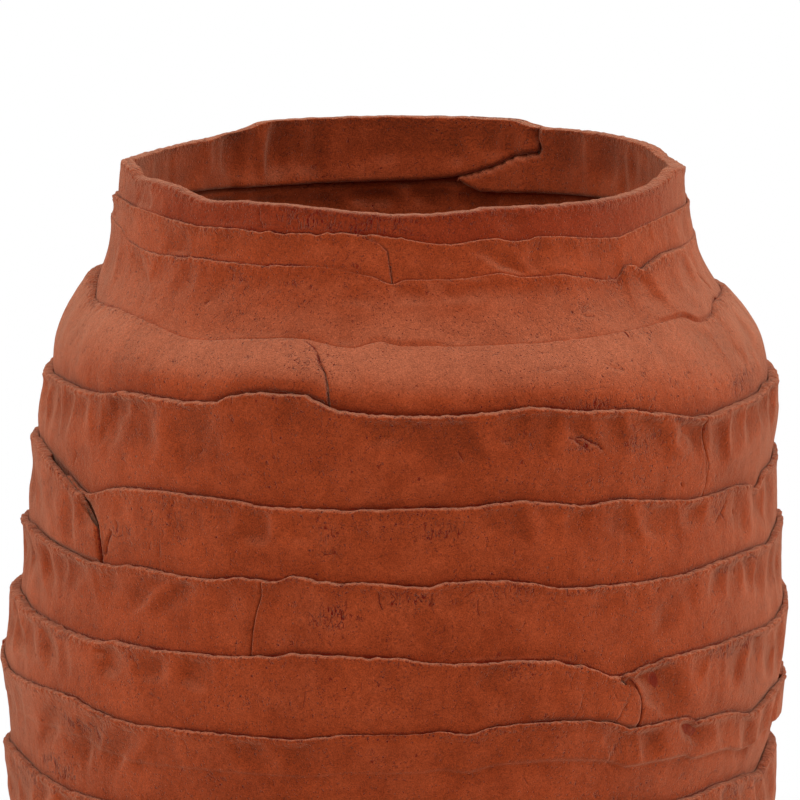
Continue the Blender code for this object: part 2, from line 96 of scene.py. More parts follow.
# A seam is where a course's foot meets the lip of the course below. Side and front move it towards the right
# and the front. Proud is the lip's step outside the course above at the left, front, right and back, and
# leastLip its least. Lip is the lip's height at each azimuth.
usualSeam = {"flare": 0, "side": 0, "front": 0, "leastLip": 1.4, "round": 1.4}
seams = [
    {"height": 385, "girth": 0, "proud": [(-90, 4.7), (0, 5.5), (90, 5.5), (180, 5.5)],
     "lip": [(-165, 388.7), (-151, 389), (-144, 386.3), (-132, 384.2), (-119, 383.8), (-109, 384),
             (-98, 385.4), (-90, 387), (-84, 387.9), (-75, 388.3), (-71, 385.8), (-61, 386.6), (-56, 386.2),
             (-43, 382.8), (-33, 384.2), (-25, 384.2), (-10, 382.7), (-1, 381.8), (12, 382.6), (18, 383.8),
             (29, 383.3), (47, 382.9), (61, 383.9), (69, 385.6), (75, 387.8), (89, 384.5), (103, 383.3),
             (117, 386), (134, 386.8), (145, 386.2), (148.5, 386), (152, 387.4), (156, 388.6), (164, 388.8),
             (180, 388.8)]},
    {"height": 373.1, "girth": 0.01, "flare": -0.05, "side": 0.1, "front": 0.3,
     "proud": [(-90, 1.6), (0, 1.1), (90, 0.7), (180, 0.9)], "leastLip": 0.7, "round": 0.9,
     "lip": [(-165, 375), (-130, 372.6), (-100, 372.4), (-90, 372.7), (-84, 374.7), (-80, 375.4),
             (-64, 375.3), (-53, 374.4), (-44, 373.3), (-38, 373.9), (-31, 374.2), (-29, 373.6), (-27, 374.3),
             (-24, 373.5), (-22.2, 374.1), (-18.6, 374.3), (-16.7, 373.8), (-14.6, 375), (-5, 374.8),
             (-1, 373.7), (4, 371.9), (8, 370.9), (18, 372.5), (23, 371.1), (29, 372.2), (40, 369.7),
             (47, 368.4), (58, 371), (72, 372.6), (86, 371.5), (130, 375)]},
    {"height": 358.8, "girth": 0.064, "flare": -0.02, "side": 0.4, "front": 0.3,
     "proud": [(0, 0.8), (180, 0.8)], "leastLip": 0.7, "round": 0.9,
     "lip": [(-160, 357.8), (-125, 361.8), (-85, 366), (-74, 365.2), (-70, 362.2), (-58, 359.9), (-41, 361.5),
             (-31, 361.5), (-17, 362.5), (-6, 359.3), (-2, 356.5), (1, 358.1), (11, 358.2), (19, 359.7),
             (25, 357.5), (32, 357.6), (37, 355.8), (46, 353), (47.6, 354.5), (48.6, 357.6), (51, 357),
             (53.5, 355.2), (57, 357), (62, 359), (77, 358.9), (125, 360.8)]},
    {"height": 336.1, "girth": 0.312, "flare": 0.6, "side": 1.4, "leastLip": 0.9,
     "proud": [(-120, 3), (-90, 4.5), (-82, 3), (-74, 1.2), (-60, 0.8), (55, 0.8), (66, 1), (76, 1.9),
               (90, 2.3), (130, 2.2), (180, 2)],
     "lip": [(-150, 336), (-120, 340), (-90, 342.9), (-86, 341.4), (-82, 339.5), (-77, 336.8), (-66, 337.5),
             (-54, 336.2), (-39, 332.9), (-27, 335.3), (-19, 336.4), (-9, 333.9), (-4, 336.1), (0, 334.8),
             (24, 334.4), (36, 334.8), (50, 335.7), (59, 336.2), (65, 332.7), (71, 333.6), (76, 336.9),
             (89, 336.8), (130, 335)]},
    {"height": 310.3, "girth": 0.705, "side": 3.4, "front": -0.5,
     "proud": [(-90, 3.6), (0, 4.6), (90, 4), (180, 4.2)],
     "lip": [(-155, 313.3), (-120, 308.3), (-88, 306), (-76, 308.1), (-59, 308.4), (-48, 311.9), (-38, 311.4),
             (-31, 312.8), (-28, 315.5), (-21, 318), (-16, 317.9), (-13, 315.5), (-11, 313.4), (-6, 311.7),
             (3, 310.9), (13, 311.5), (21, 312.8), (29, 310.2), (38, 308.7), (44, 305.8), (49, 303.2),
             (53, 301.6), (62, 302.8), (74, 303.4), (78, 305), (88, 304), (110, 306.3), (140, 312.3)]},
    {"height": 276, "girth": 0.794, "flare": -0.05, "side": 1.6, "front": -0.5,
     "proud": [(-90, 3.3), (0, 3.3), (90, 1.8), (180, 3)],
     "lip": [(-155, 274), (-120, 279), (-88, 281.5), (-81, 282.8), (-76, 281.5), (-65, 275.6), (-58, 270.3),
             (-55, 272), (-52, 274.5), (-46, 276.6), (-39, 277.4), (-27, 277), (-21, 275.5), (-10, 275.6),
             (0, 276.6), (9, 276.8), (18, 278.1), (23, 276.9), (28, 275), (34, 275.7), (42, 273.6),
             (52, 271.2), (61, 271.9), (67, 270.8), (71, 268), (75, 272.8), (81, 273.6), (115, 277),
             (145, 274)]},
    {"height": 247.6, "girth": 0.868, "flare": -0.08, "side": 0.2,
     "proud": [(-90, 3.2), (0, 3), (90, 2.8), (180, 3)],
     "lip": [(-150, 248.6), (-115, 245.6), (-88, 249.5), (-77, 251.2), (-65, 248.6), (-52, 246.4),
             (-44, 247.9), (-31, 246.5), (-25, 248.6), (-20, 248.1), (-16, 250.4), (-10, 248.4), (-4, 248.7),
             (4, 247.3), (7, 249.2), (14, 249.3), (22, 246.1), (26, 244.4), (44, 243.6), (57, 246),
             (65, 246.4), (75, 245), (83, 249.1), (130, 247.6)]},
    {"height": 218.3, "girth": 0.938, "flare": -0.1, "side": 0.2, "front": 0.6,
     "proud": [(-90, 4), (0, 3), (90, 2.2), (180, 3)],
     "lip": [(-160, 218.3), (-120, 220.6), (-90, 222), (-79, 223), (-76, 221), (-64, 219.3), (-50, 217.6),
             (-47, 219.3), (-43, 218.6), (-27, 218.9), (-19, 220.5), (-16, 222.2), (-5, 221.5), (0, 220.9),
             (6, 218.8), (13, 218.9), (21, 218.4), (28, 214.6), (33.5, 209.6), (36, 210.2), (38, 211.7),
             (43, 213.9), (53, 215.2), (64, 215.5), (71, 215.3), (81, 217.2), (110, 221.3), (145, 216.3)]},
    {"height": 191.7, "girth": 1, "flare": -0.15, "side": -3.2, "front": 0.5,
     "proud": [(-90, 1.5), (0, 1.3), (90, 0.8), (180, 1.5)],
     "lip": [(-155, 189.7), (-120, 193.7), (-86, 197.5), (-78, 195.3), (-65, 195.3), (-55, 195.4),
             (-50, 192.3), (-40, 189.5), (-29, 190.2), (-15, 189.8), (-8, 192), (2, 192.6), (6, 193.6),
             (9, 192.2), (15, 195.1), (22, 195.4), (32, 192.5), (36, 189.3), (47, 189.8), (49.5, 187.6),
             (57, 187.7), (65.5, 184), (71, 186.6), (76, 188.6), (84, 187.8), (110, 191.7), (140, 194.7)]},
    {"height": 160.5, "girth": 0.927, "flare": -0.2, "side": -5.2,
     "proud": [(-90, 2.5), (0, 3.2), (90, 3.4), (180, 3)],
     "lip": [(-155, 161.5), (-120, 159.5), (-88, 163), (-81, 165.5), (-75, 164.8), (-65, 160.1), (-51, 157.2),
             (-30, 159), (-15, 161), (20, 159.5), (49, 157), (58, 159), (67, 158.5), (74, 156.4), (83, 162.2),
             (135, 161.5)]},
    {"height": 132.8, "girth": 0.946, "flare": -0.3, "side": -3.8, "front": -0.4,
     "proud": [(-90, 2.8), (0, 3), (90, 2.6), (180, 2.8)],
     "lip": [(-140, 134.8), (-95, 131.8), (-60, 134.8), (-25, 130.8), (12, 134.8), (55, 131.8), (95, 134.8),
             (130, 130.8), (175, 133.8)]},
    {"height": 104, "girth": 0.815, "flare": -0.4, "side": -2.4, "front": -0.3,
     "proud": [(-90, 3), (0, 2.6), (90, 3), (180, 2.8)],
     "lip": [(-160, 103), (-110, 106), (-70, 102), (-30, 105), (5, 102), (40, 106), (80, 102), (120, 105),
             (150, 106)]},
    {"height": 75.8, "girth": 0.617, "flare": -0.5, "side": -1.2,
     "proud": [(-90, 2.6), (0, 2.8), (90, 2.6), (180, 3)],
     "lip": [(-150, 77.8), (-105, 73.8), (-65, 76.8), (-20, 77.8), (25, 73.8), (60, 76.8), (100, 74.8),
             (140, 73.8), (170, 76.8)]},
    {"height": 50.1, "girth": 0.366, "flare": -0.6, "side": -0.4, "front": 0.2,
     "proud": [(-90, 2.6), (0, 2.4), (90, 2.8), (180, 2.6)],
     "lip": [(-165, 49.1), (-120, 51.1), (-80, 52.1), (-35, 49.1), (10, 51.1), (50, 48.1), (90, 51.1),
             (135, 52.1)]},
    {"height": 27, "girth": 0.115, "flare": -0.55, "proud": [(-90, 2.2), (0, 2.4), (90, 2.2), (180, 2.4)],
     "lip": [(-150, 28), (-100, 26), (-45, 28), (0, 26), (60, 28), (110, 26), (160, 27)]},
    {"height": 13.1, "girth": 0, "flare": -0.5, "proud": [(-90, 3.6), (0, 3.6), (90, 3.6), (180, 3.6)],
     "lip": [(-140, 14.1), (-70, 12.1), (-10, 13.1), (50, 14.1), (120, 12.1), (170, 13.1)]},
]
seams = [{**usualSeam, **seam} for seam in seams]

# Smear is how far the clay of a seam's lip and of the course above are rubbed into one, from 0 to 1.
smears = {
    1: [(-170, 0.3), (-80, 0.1), (-68, 0.1), (-64, 0.75), (-56, 0.7), (-52, 0.2), (-6, 0.2), (2, 0.5),
        (60, 0.5), (72, 0.2), (84, 0.1), (110, 0.4)],
    2: [(-170, 0.4), (-84, 0.6), (-72, 0.6), (-66, 0.4), (-58, 0.15), (-22, 0.15), (-17, 0.95), (-8, 1),
        (-5, 0.7), (8, 0.85), (13, 0.7), (16, 0.9), (19, 0.55), (44, 0.5), (47, 0.1), (60, 0.2), (70, 0.55),
        (84, 0.6), (110, 0.4)],
    3: [(-170, 0.1), (-80, 0.1), (-70, 0.3), (-52, 0.55), (-44, 0.85), (-23, 0.95), (-20, 0.85), (-14, 0.9),
        (-7, 0.9), (-4, 0.75), (0, 0.95), (20, 0.95), (28, 0.85), (38, 0.95), (46, 0.7), (51, 0.7), (56, 0.9),
        (66, 0.75), (71, 0.2), (90, 0.1)],
}

# How plainly the painted shade line in a seam's crevice shows, where it is rubbed over in places.
seamLines = {
    1: [(-170, 0.6), (-84, 0.8), (-70, 0.6), (-66, 0.1), (-58, 0.1), (-55, 0.6), (-44, 0.9), (-30, 1.1),
        (-10, 1), (5, 0.35), (30, 0.5), (46, 0.45), (60, 0.6), (84, 0.8), (120, 0.6)],
    2: [(-170, 0.6), (-84, 0.7), (-58, 1), (-45, 1), (-28, 1.3), (-22, 1.1), (-18, 0.05), (-9, 0.05),
        (-6, 0.4), (0, 0.6), (10, 0.35), (14, 0.1), (17, 0.5), (22, 0.2), (26, 0.6), (40, 0.7), (60, 0.8),
        (84, 0.7), (120, 0.6)],
    3: [(-170, 0.8), (-90, 0.9), (-66, 0.7), (-58, 0.4), (-50, 0.15), (-40, 0.05), (-20, 0.05), (-14, 0.1),
        (-9, 0.35), (-3, 0.3), (2, 0.05), (18, 0.05), (22, 0.3), (31, 0.25), (35, 0.05), (44, 0.05),
        (48, 0.35), (52, 0.1), (60, 0.1), (66, 0.4), (72, 0.8), (90, 0.9), (120, 0.8)],
}
usualLine = 0.72


# Closed run of (azimuth, value) points read at any azimuth, smooth and with no overshoot.
def readRound(points, azimuth):
    x, y = np.array(points, float).T
    x = np.concatenate([x[-2:] - 360, x, x[:2] + 360])
    y = np.concatenate([y[-2:], y, y[:2]])
    step = np.diff(x)
    slope = np.diff(y) / step
    tangent = np.zeros_like(y)
    before, after = slope[:-1], slope[1:]
    same = before * after > 0
    tangent[1:-1][same] = 2 * before[same] * after[same] / (before + after)[same]
    turned = (np.asarray(azimuth, float) + 180) % 360 - 180
    i = np.clip(np.searchsorted(x, turned, side="right") - 1, 0, len(x) - 2)
    t = (turned - x[i]) / step[i]
    return ((2 * t ** 3 - 3 * t ** 2 + 1) * y[i] + (t ** 3 - 2 * t ** 2 + t) * step[i] * tangent[i]
            + (3 * t ** 2 - 2 * t ** 3) * y[i + 1] + (t ** 3 - t ** 2) * step[i] * tangent[i + 1])


# Open run of (place, value) points read with straight lines between them.
def readRun(points, at):
    return np.interp(at, [p[0] for p in points], [p[1] for p in points])


def smooth(share):
    share = np.clip(share, 0, 1)
    return share * share * (3 - 2 * share)


# Falls from 1 at nothing towards 0, to about a third at the given width.
def bell(distance, width):
    return np.exp(-(distance / width) ** 2)


noiseValues = np.random.default_rng(11).uniform(-1, 1, 8192)


# Smooth seeded noise from -1 to 1 on points given in units of its grain.
def noise(x, y, z, seed):
    cell = [np.floor(v).astype(np.int64) for v in (x, y, z)]
    part = [v - c for v, c in zip((x, y, z), cell)]
    part = [p * p * p * (p * (p * 6 - 15) + 10) for p in part]
    total = 0
    for corner in range(8):
        bits = (corner & 1, corner >> 1 & 1, corner >> 2)
        key = seed * 7919
        weight = 1
        for c, p, bit, factor in zip(cell, part, bits, (73856093, 19349663, 83492791)):
            key = key ^ (c + bit) * factor
            weight = weight * (p if bit else 1 - p)
        key = (key ^ key >> 15) * 668265263 & 0xFFFFFFFF
        key = (key ^ key >> 13) * 374761393 & 0xFFFFFFFF
        total = total + weight * noiseValues[(key ^ key >> 16) & len(noiseValues) - 1]
    return total


# Where the clay's unevenness is read, and that unevenness with its spread along and up the wall in mm.
def onClay(azimuth, height):
    angle = np.radians(azimuth)
    return pot["clayRadius"] * np.sin(angle), -pot["clayRadius"] * np.cos(angle), height


def uneven(spot, along, up, seed):
    return noise(spot[0] / along, spot[1] / along, spot[2] / up, seed)


def proudAt(seam, azimuth):
    return readRound(seams[seam]["proud"], azimuth)


def lipAt(seam, azimuth):
    return readRound(seams[seam]["lip"], azimuth)


def seamRadius(seam, azimuth, height):
    shape = seams[seam]
    end = pot["mouth"] if seam < pot["bellySeam"] else pot["base"]
    reach = end + (pot["belly"] - end) * shape["girth"] - (pot["rimInset"] if seam == 0 else 0)
    angle = np.radians(azimuth)
    return (reach + shape["side"] * np.sin(angle) + shape["front"] * np.cos(angle)
            + shape["flare"] * (shape["height"] - height))


def smearAt(seam, azimuth):
    return readRound(smears[seam], azimuth) if seam in smears else np.zeros_like(azimuth)


def lineAt(seam, azimuth):
    return readRound(seamLines[seam], azimuth) if seam in seamLines else usualLine + 0 * azimuth


def leastLip(seam, azimuth):
    return seams[seam]["leastLip"] * (1 - 0.9 * smearAt(seam, azimuth))


# How deep a foot is tucked below the lip at the top of a band, and where the wall behind that lip ends.
def tuckDepth(band):
    return np.minimum(pot["lapDepth"], pot["deepestLap"] * band)


def shelfHeight(top, band):
    return top - tuckDepth(band) - pot["shelf"] * band


# Height of a strap's tucked foot edge, which runs out in a slanting tip where the course says so.
def footHeight(course, label, azimuth):
    below = lipAt(course + 1, azimuth)
    if course + 1 == pot["floorSeam"]:
        foot = pot["floorFoot"] + 0 * below
    else:
        foot = below - tuckDepth(below - lipAt(course + 2, azimuth))
    return foot + readRun(courses[course].get("foot", {}).get(label, [(0, 0)]), azimuth)


# Plain inner and outer radius of a course at an azimuth and a height, before it is rounded and pressed.
def plainWall(course, azimuth, height, foot):
    shape = courses[course]
    top, below = lipAt(course, azimuth), lipAt(course + 1, azimuth)
    band = top - below
    smear, smearBelow = smearAt(course, azimuth), smearAt(course + 1, azimuth)
    behindLip = seamRadius(course, azimuth, height) + pot["gap"] / 2 - 0.25 * smear
    beforeFoot = seamRadius(course + 1, azimuth, height) - (pot["gap"] / 2 - 0.25 * smearBelow)
    share = (top - height) / band
    straight = ((seamRadius(course, azimuth, top) + proudAt(course, azimuth)) * (1 - share)
                + seamRadius(course + 1, azimuth, below) * share)
    face = straight + shape["bulge"] * 4 * share * (1 - share)
    stepBelow = np.maximum(proudAt(course + 1, azimuth), leastLip(course + 1, azimuth))
    filled = face + smearBelow * stepBelow * bell(np.maximum(height - below, 0), 8)
    bare = height > below - 1e-6
    outer = np.where(bare, np.maximum(filled, behindLip + leastLip(course, azimuth)), beforeFoot)
    outer = np.where(bare, np.minimum(outer, np.maximum(filled, beforeFoot)), outer)
    shelf = shelfHeight(top, band)
    down = smooth((shelf - height) / (0.1 * band + 0.5))
    footShare = np.clip((shelf - height) / (shelf - foot), 0, 1)
    lowInner = (face - shape.get("wall", pot["wall"])) * (1 - footShare)
    lowInner = lowInner + (beforeFoot - shape.get("tuckedWall", pot["tuckedWall"])) * footShare
    inner = behindLip * (1 - down) + lowInner * down
    thin = pot["leastNeckWall"] * (1 - 0.7 * smear) if course < 4 else pot["leastWall"]
    return inner, np.maximum(outer, inner + np.where(bare, thin, pot["leastWall"]))


# How far a quarter-round edge of some radius has drawn back at a distance from the edge.
def roundEdge(distance, radius):
    share = np.clip(1 - distance / radius, 0, 1)
    return radius * (1 - np.sqrt(1 - share * share))


# Bulge swells a course's face. Over ends of joints with side 1 point right. Rise is how far a lapped end
# swells the wall, tip the rounding of the over end's edge, notch the width of the groove before it and line
# how plainly the painted shadow line at its tip shows. Edge gives the tip's azimuth at some heights. The two
# ends meet at a share of the wall, underTip of it at the under end's tip and overTip at the over end's. Foot
# shifts a strap's foot up or down.
usualJoint = {"side": 1, "rise": 1.5, "tip": 2.0, "notch": 0.9, "line": 0.7,
              "underTip": 0.36, "overTip": 0.56}
courses = [
    {"name": "rim", "bulge": 0, "straps": ("front", "back"), "tuckedWall": 5.6, "footRound": 2.2,
     "darker": 0.24,
     "joints": [{"azimuth": -78, "rise": 0, "tip": 0.15, "notch": 0.2, "line": 0},
                {"azimuth": 168, "rise": 0.9, "underTip": 0.64}],
     "foot": {"front": [(100, -1), (120, -3), (135, -3.6), (160, -4.6), (163, -4.4), (165.5, -2.5),
                        (168, 0.5)],
              "back": [(148, 12.5), (150, 11.8), (155, 10.2), (159, 6.5), (164, 3.5), (169, 1.2), (176, 0)]}},
    {"name": "neck_upper", "bulge": 0, "dentDepth": 1.6, "straps": ("right", "left"), "wall": 4.2,
     "joints": [{"azimuth": -3, "rise": 0.3, "tip": 0.4, "notch": 0.3, "line": 0.6,
                 "edge": [(357, -1.9), (363.4, -2.5), (368.9, -2.9), (372.2, -4.9), (373.3, -7)]},
                {"azimuth": 176, "rise": 0.6}]},
    {"name": "neck_lower", "bulge": -1, "dentDepth": 1.3, "straps": ("front", "back"),
     "joints": [{"azimuth": -115, "rise": 1},
                {"azimuth": 70, "rise": 1.4, "tip": 3, "notch": 1.4,
                 "edge": [(330, 76), (334, 79), (343, 77.9), (347.7, 75.9), (357, 72)]}]},
    {"name": "shoulder_upper", "bulge": 4.5, "straps": ("right", "left"),
     "joints": [{"azimuth": -12, "rise": 0.9, "tip": 1, "line": 1,
                 "edge": [(313.3, -11.6), (321.1, -11.9), (325.6, -12.6), (328.2, -13.6), (331, -14.2),
                          (334, -15.4), (336, -17.5)]}, {"azimuth": 168, "rise": 1.6}]},
    {"name": "shoulder_lower", "bulge": 1, "straps": ("front", "back"),
     "joints": [{"azimuth": -130, "rise": 1.6},
                {"azimuth": 56, "rise": 0.3, "tip": 0.4, "notch": 0.3, "line": 0.28,
                 "edge": [(269.7, 53.2), (275, 53.7), (283, 54.1), (290, 53.2), (296, 52.9), (301.2, 53.3),
                          (303.4, 52.2)]}]},
    {"name": "belly_1", "bulge": 0.5, "straps": ("front", "back"),
     "joints": [{"azimuth": -51, "rise": 1.4, "tip": 1.5, "notch": 0.7, "line": 0.9,
                 "edge": [(246, -52.3), (253.8, -52.9), (260.6, -53.5), (265.1, -55.4), (271, -58.6)]},
                {"azimuth": 132, "rise": 1.6}]},
    {"name": "belly_2", "bulge": -0.5, "straps": ("right", "left"),
     "joints": [{"azimuth": -22, "side": -1, "rise": 0.4, "tip": 0.7, "notch": 0.4, "line": 0.3,
                 "edge": [(220.4, -22.7), (228.4, -22.5), (236.5, -21.9), (242.7, -21.1)]},
                {"azimuth": 158, "rise": 1.6}]},
    {"name": "belly_3", "bulge": 0.6, "straps": ("left", "right"),
     "joints": [{"azimuth": -140, "rise": 1.6},
                {"azimuth": 39, "rise": 0.9, "tip": 2.4, "notch": 0.7, "line": 0.75,
                 "edge": [(189.9, 37.3), (194.8, 37.6), (201.1, 37.2), (205.6, 36.3), (208.3, 35.3),
                          (209.6, 33.3)]}]},
    {"name": "belly_4", "bulge": -0.2, "straps": ("front", "back"),
     "joints": [{"azimuth": -96}, {"azimuth": 101, "rise": 0.5}]},
    {"name": "belly_5", "bulge": 1.1, "straps": ("left", "right"),
     "joints": [{"azimuth": -158}, {"azimuth": 20}]},
    {"name": "lower_wall_1", "bulge": 1.5, "straps": ("right", "left"),
     "joints": [{"azimuth": -32}, {"azimuth": 140}]},
    {"name": "lower_wall_2", "bulge": 2, "straps": ("front", "back"),
     "joints": [{"azimuth": -130}, {"azimuth": 50}]},
    {"name": "lower_wall_3", "bulge": 2.2, "straps": ("right", "left"),
     "joints": [{"azimuth": -5}, {"azimuth": 176}]},
    {"name": "lower_wall_4", "bulge": 2, "straps": ("left", "right"),
     "joints": [{"azimuth": -148}, {"azimuth": 32}]},
    {"name": "foot", "bulge": 1, "straps": ("front", "back"), "joints": [{"azimuth": -60}, {"azimuth": 122}]},
]

# Finger dents of each course that can be told apart at the front: azimuth, height, half width in degrees,
# half height, depth, and slant in degrees per mm of height where there is one.
dents = {
    0: [(-63.5, 378.5, 3, 5, 0.6), (-36, 378, 6, 5, 0.3), (22.5, 378.5, 3.2, 5, 0.45), (49, 377, 5, 5, 0.25)],
    1: [(-48, 366, 2.6, 6, 0.8), (-38, 366.5, 4, 5, 0.5), (-24, 368, 6, 5, 0.3), (8, 366.5, 6, 5, 0.3),
        (19.8, 363.5, 2.6, 7, 0.8, -0.5), (27.2, 365.5, 2.6, 5.5, 0.8), (34, 366, 2.8, 5, 0.35),
        (42, 364.5, 3.5, 5, 0.35), (57, 366, 3.5, 5, 0.3), (66, 366, 2.6, 5, 0.4), (76, 366, 3, 6, 0.6)],
    2: [(-77, 350, 3, 7, 0.5), (-70, 350, 3.4, 7, 0.5), (-61, 352.5, 3, 6, 1, -0.45),
        (-54.5, 354, 2.6, 5, 0.5), (-46.5, 351, 2.4, 6, 0.6), (-37.5, 351.5, 4, 6.5, 0.7),
        (-28, 354, 3, 4.5, 0.35), (-7.5, 352, 3, 3.5, 0.4), (3, 353, 4, 3, 0.5), (11, 353.5, 4, 3.5, 0.6),
        (19.5, 352.5, 4.2, 4, 0.5), (29, 352, 4, 5, 0.3), (53.5, 347, 3, 7, 1, -0.35), (61, 347, 3, 6, 0.4),
        (67.5, 348.5, 3.2, 5, 0.8), (74.5, 352.5, 3, 5, 0.6)],
    3: [(-72, 322, 4, 8, 0.3), (-46, 326, 4, 6, 0.25), (24, 333, 3, 4, 0.3), (62, 322, 4, 9, 0.5),
        (70, 323, 3.5, 8, 0.6), (77.5, 323, 3, 8, 0.6)],
    4: [(-80.5, 300, 2, 9, 0.8), (-76, 300, 2.4, 9, 0.9), (-71.2, 300, 2, 9, 0.8),
        (-66.8, 300.5, 2.1, 8, 0.8, 0.05), (-61.8, 302, 2.5, 7, 0.7), (-57, 297, 2, 9, 0.35),
        (-52, 300, 3.5, 9.5, 1.3), (-43.7, 300, 4.1, 9.5, 1.2), (-33.5, 299, 5, 11, 1), (-24, 303, 4, 8, 0.4),
        (-17.5, 308, 4, 6, 0.6), (-8.5, 302, 3, 6, 0.3), (-2.5, 304.5, 3.6, 5.5, 0.8),
        (8, 299, 4.8, 9.5, 1.1, -0.17), (17.3, 304, 2.8, 6, 0.8), (22.6, 303, 2.6, 8, 1),
        (28, 303, 2.6, 7, 0.8), (34.6, 301.5, 2.5, 8, 1.1, -0.1), (41.5, 298, 3.4, 11, 1.1, -0.1),
        (49.7, 296, 3.4, 9, 1.4, -0.15), (56.8, 291, 2.4, 10, 1, -0.1), (61.8, 297, 2.1, 9, 0.7),
        (67.8, 297.5, 3, 8, 1.4), (74, 298, 2.6, 8, 1.2), (79.5, 298, 2.4, 9, 1)],
    5: [(-79, 264, 2.5, 9, 0.5), (-74, 266, 2.4, 7, 0.5), (-67, 264, 3, 8, 0.3), (-61, 259, 1.6, 8, 0.6),
        (-57, 264, 2.2, 6, 0.5), (-48, 270, 2.5, 6, 0.3), (-35.5, 268, 3, 8, 0.6), (-29, 270, 2.5, 5, 0.35),
        (-22.3, 267, 2.3, 6, 0.9), (-15.5, 268.5, 2.8, 6, 0.55), (-6.5, 267, 2.6, 6, 0.4),
        (1, 268, 3, 6, 0.3), (7, 265, 2.4, 5, 0.5), (12.7, 270, 2.6, 5, 0.5), (17.5, 267.5, 2, 6, 0.8),
        (22.2, 268, 2, 6, 0.5), (27, 267.5, 2.1, 5.5, 0.6), (35.6, 266, 2.6, 6.5, 0.8, -0.1),
        (42, 265.5, 3, 7, 0.9), (51, 266.5, 2.2, 5, 0.9), (57, 264, 2.4, 6, 0.5), (64, 260, 3, 7, 0.6),
        (70.5, 262, 2.6, 8, 0.8), (77, 262, 2.6, 9, 0.8)],
    6: [(-80, 238, 2.4, 9, 0.9), (-75.5, 241, 2.1, 6, 1.2), (-67.6, 240, 2.4, 7, 1.3),
        (-62.5, 239, 2, 6, 0.5), (-58.5, 240, 2.4, 6, 0.7), (-51, 238, 3, 7, 0.4),
        (-42, 238, 2.4, 8, 0.6, 0.25), (-36.2, 238.5, 2.3, 6.5, 0.7, 0.2), (-27.3, 238, 2.6, 6.5, 0.5, 0.2),
        (-18, 241, 3.4, 6, 0.35), (-6.2, 241, 2.6, 6, 0.35), (2.5, 238, 2.6, 6, 0.3), (8, 240, 2.4, 7, 0.3),
        (13.5, 237, 2.4, 8, 0.35), (22, 237, 2.6, 8, 0.35), (31.5, 239, 2.4, 7, 0.6),
        (37.5, 240, 2.2, 6, 0.4), (43, 229, 2.4, 6, 0.5), (48.5, 238, 2.4, 7, 0.4), (55, 239, 2.2, 6.5, 0.8),
        (59.8, 238, 2, 7, 0.6), (64.5, 238, 2, 7, 0.8), (69.5, 237, 2.4, 8, 0.9), (75.5, 236, 2.6, 9, 0.9),
        (81, 236, 2.4, 9, 0.8)],
    7: [(-80.5, 211, 2.2, 8, 0.8), (-75.3, 210.5, 2.5, 7, 1.3, -0.3), (-69.5, 210.5, 2.4, 6.5, 1, -0.15),
        (-63, 208.5, 2.1, 6.5, 1, -0.1), (-57.5, 208, 2.4, 7, 0.5), (-47.5, 211.5, 2.6, 5.5, 1.2),
        (-37.6, 211.5, 2.8, 5, 0.8), (-31.3, 212, 2.6, 5, 0.9), (-23, 210, 2.8, 7, 0.35),
        (-9, 211, 3.4, 6, 0.35), (-1, 208, 3, 6, 0.3), (12.6, 211.5, 2.8, 6, 0.7), (22, 208, 3, 7, 0.35),
        (31, 203, 3, 7, 0.3), (40.3, 203.5, 3, 12, 1.6, -0.23), (49.3, 208, 1.7, 6, 0.5),
        (54.5, 205, 2.6, 7, 0.4), (59.6, 205.5, 2.2, 7, 0.9), (66, 207, 2.8, 7, 0.9),
        (72.5, 204, 2.6, 8, 0.9), (78.5, 204, 2.4, 9, 0.9)],
    8: [(-79, 181, 2.4, 9, 0.6), (-73, 181, 2.6, 9, 0.5), (-62.3, 180, 2.5, 9, 0.8, 0.25),
        (-53, 176.5, 3.2, 9, 1.2, 0.4), (-44.5, 178.5, 2.6, 8, 0.9, 0.35), (-38, 180, 2.4, 7, 0.5, 0.2),
        (-22.7, 183.5, 2.5, 6, 0.8), (-15, 184, 2.6, 6.5, 0.6), (-7, 181, 3, 7, 0.3), (7.3, 181.5, 3, 9, 0.6),
        (13, 182, 2.4, 7, 0.35), (20, 180, 3, 7, 0.3), (33.3, 183, 2.6, 6, 0.7, -0.1),
        (39.6, 182.5, 2.3, 6, 1, -0.1), (48, 184, 2.5, 6, 1.4, -0.15), (56.5, 180, 2.8, 8, 0.6),
        (64.5, 175, 2.2, 8, 1), (71, 177, 2.4, 8, 0.8), (77.5, 177, 2.4, 9, 0.9)],
    9: [(-77, 150, 2.6, 8, 1), (-71, 150, 2.4, 8, 0.9), (-64.5, 150, 2.6, 7, 0.9), (-57, 150, 3, 7, 0.7),
        (60, 149, 2.6, 7, 0.9), (66, 149, 2.4, 7, 1), (72, 149, 2.4, 8, 1), (78.5, 149, 2.6, 8, 0.9)],
}

# Hollows that fingers left inside the rim and the neck, in the same way.
innerDents = {
    0: [(-116, 374, 6, 8, 0.4), (-130, 375, 5, 8, 0.5), (-142, 374, 5, 9, 1.2, 0.05),
        (-152.2, 373, 3.4, 9, 1.7), (-160.5, 374, 4.4, 8, 1, 0.1), (-170, 374, 5, 7, 0.5),
        (-179, 377, 6, 7, 0.7), (171, 376, 6, 7, 0.6), (160, 379, 6, 5, 0.6, 0.2), (141, 376, 6, 8, 0.6),
        (127, 373, 7, 8, 0.6), (112, 376, 6, 8, 0.4)],
    1: [(-140, 357, 5, 6, 0.8), (-152, 358, 5, 6, 1), (-163, 357, 5, 6, 0.8), (-174, 358, 5, 5, 1.1),
        (175, 358, 4, 5, 0.9), (164, 357, 4, 6, 0.7)],
}

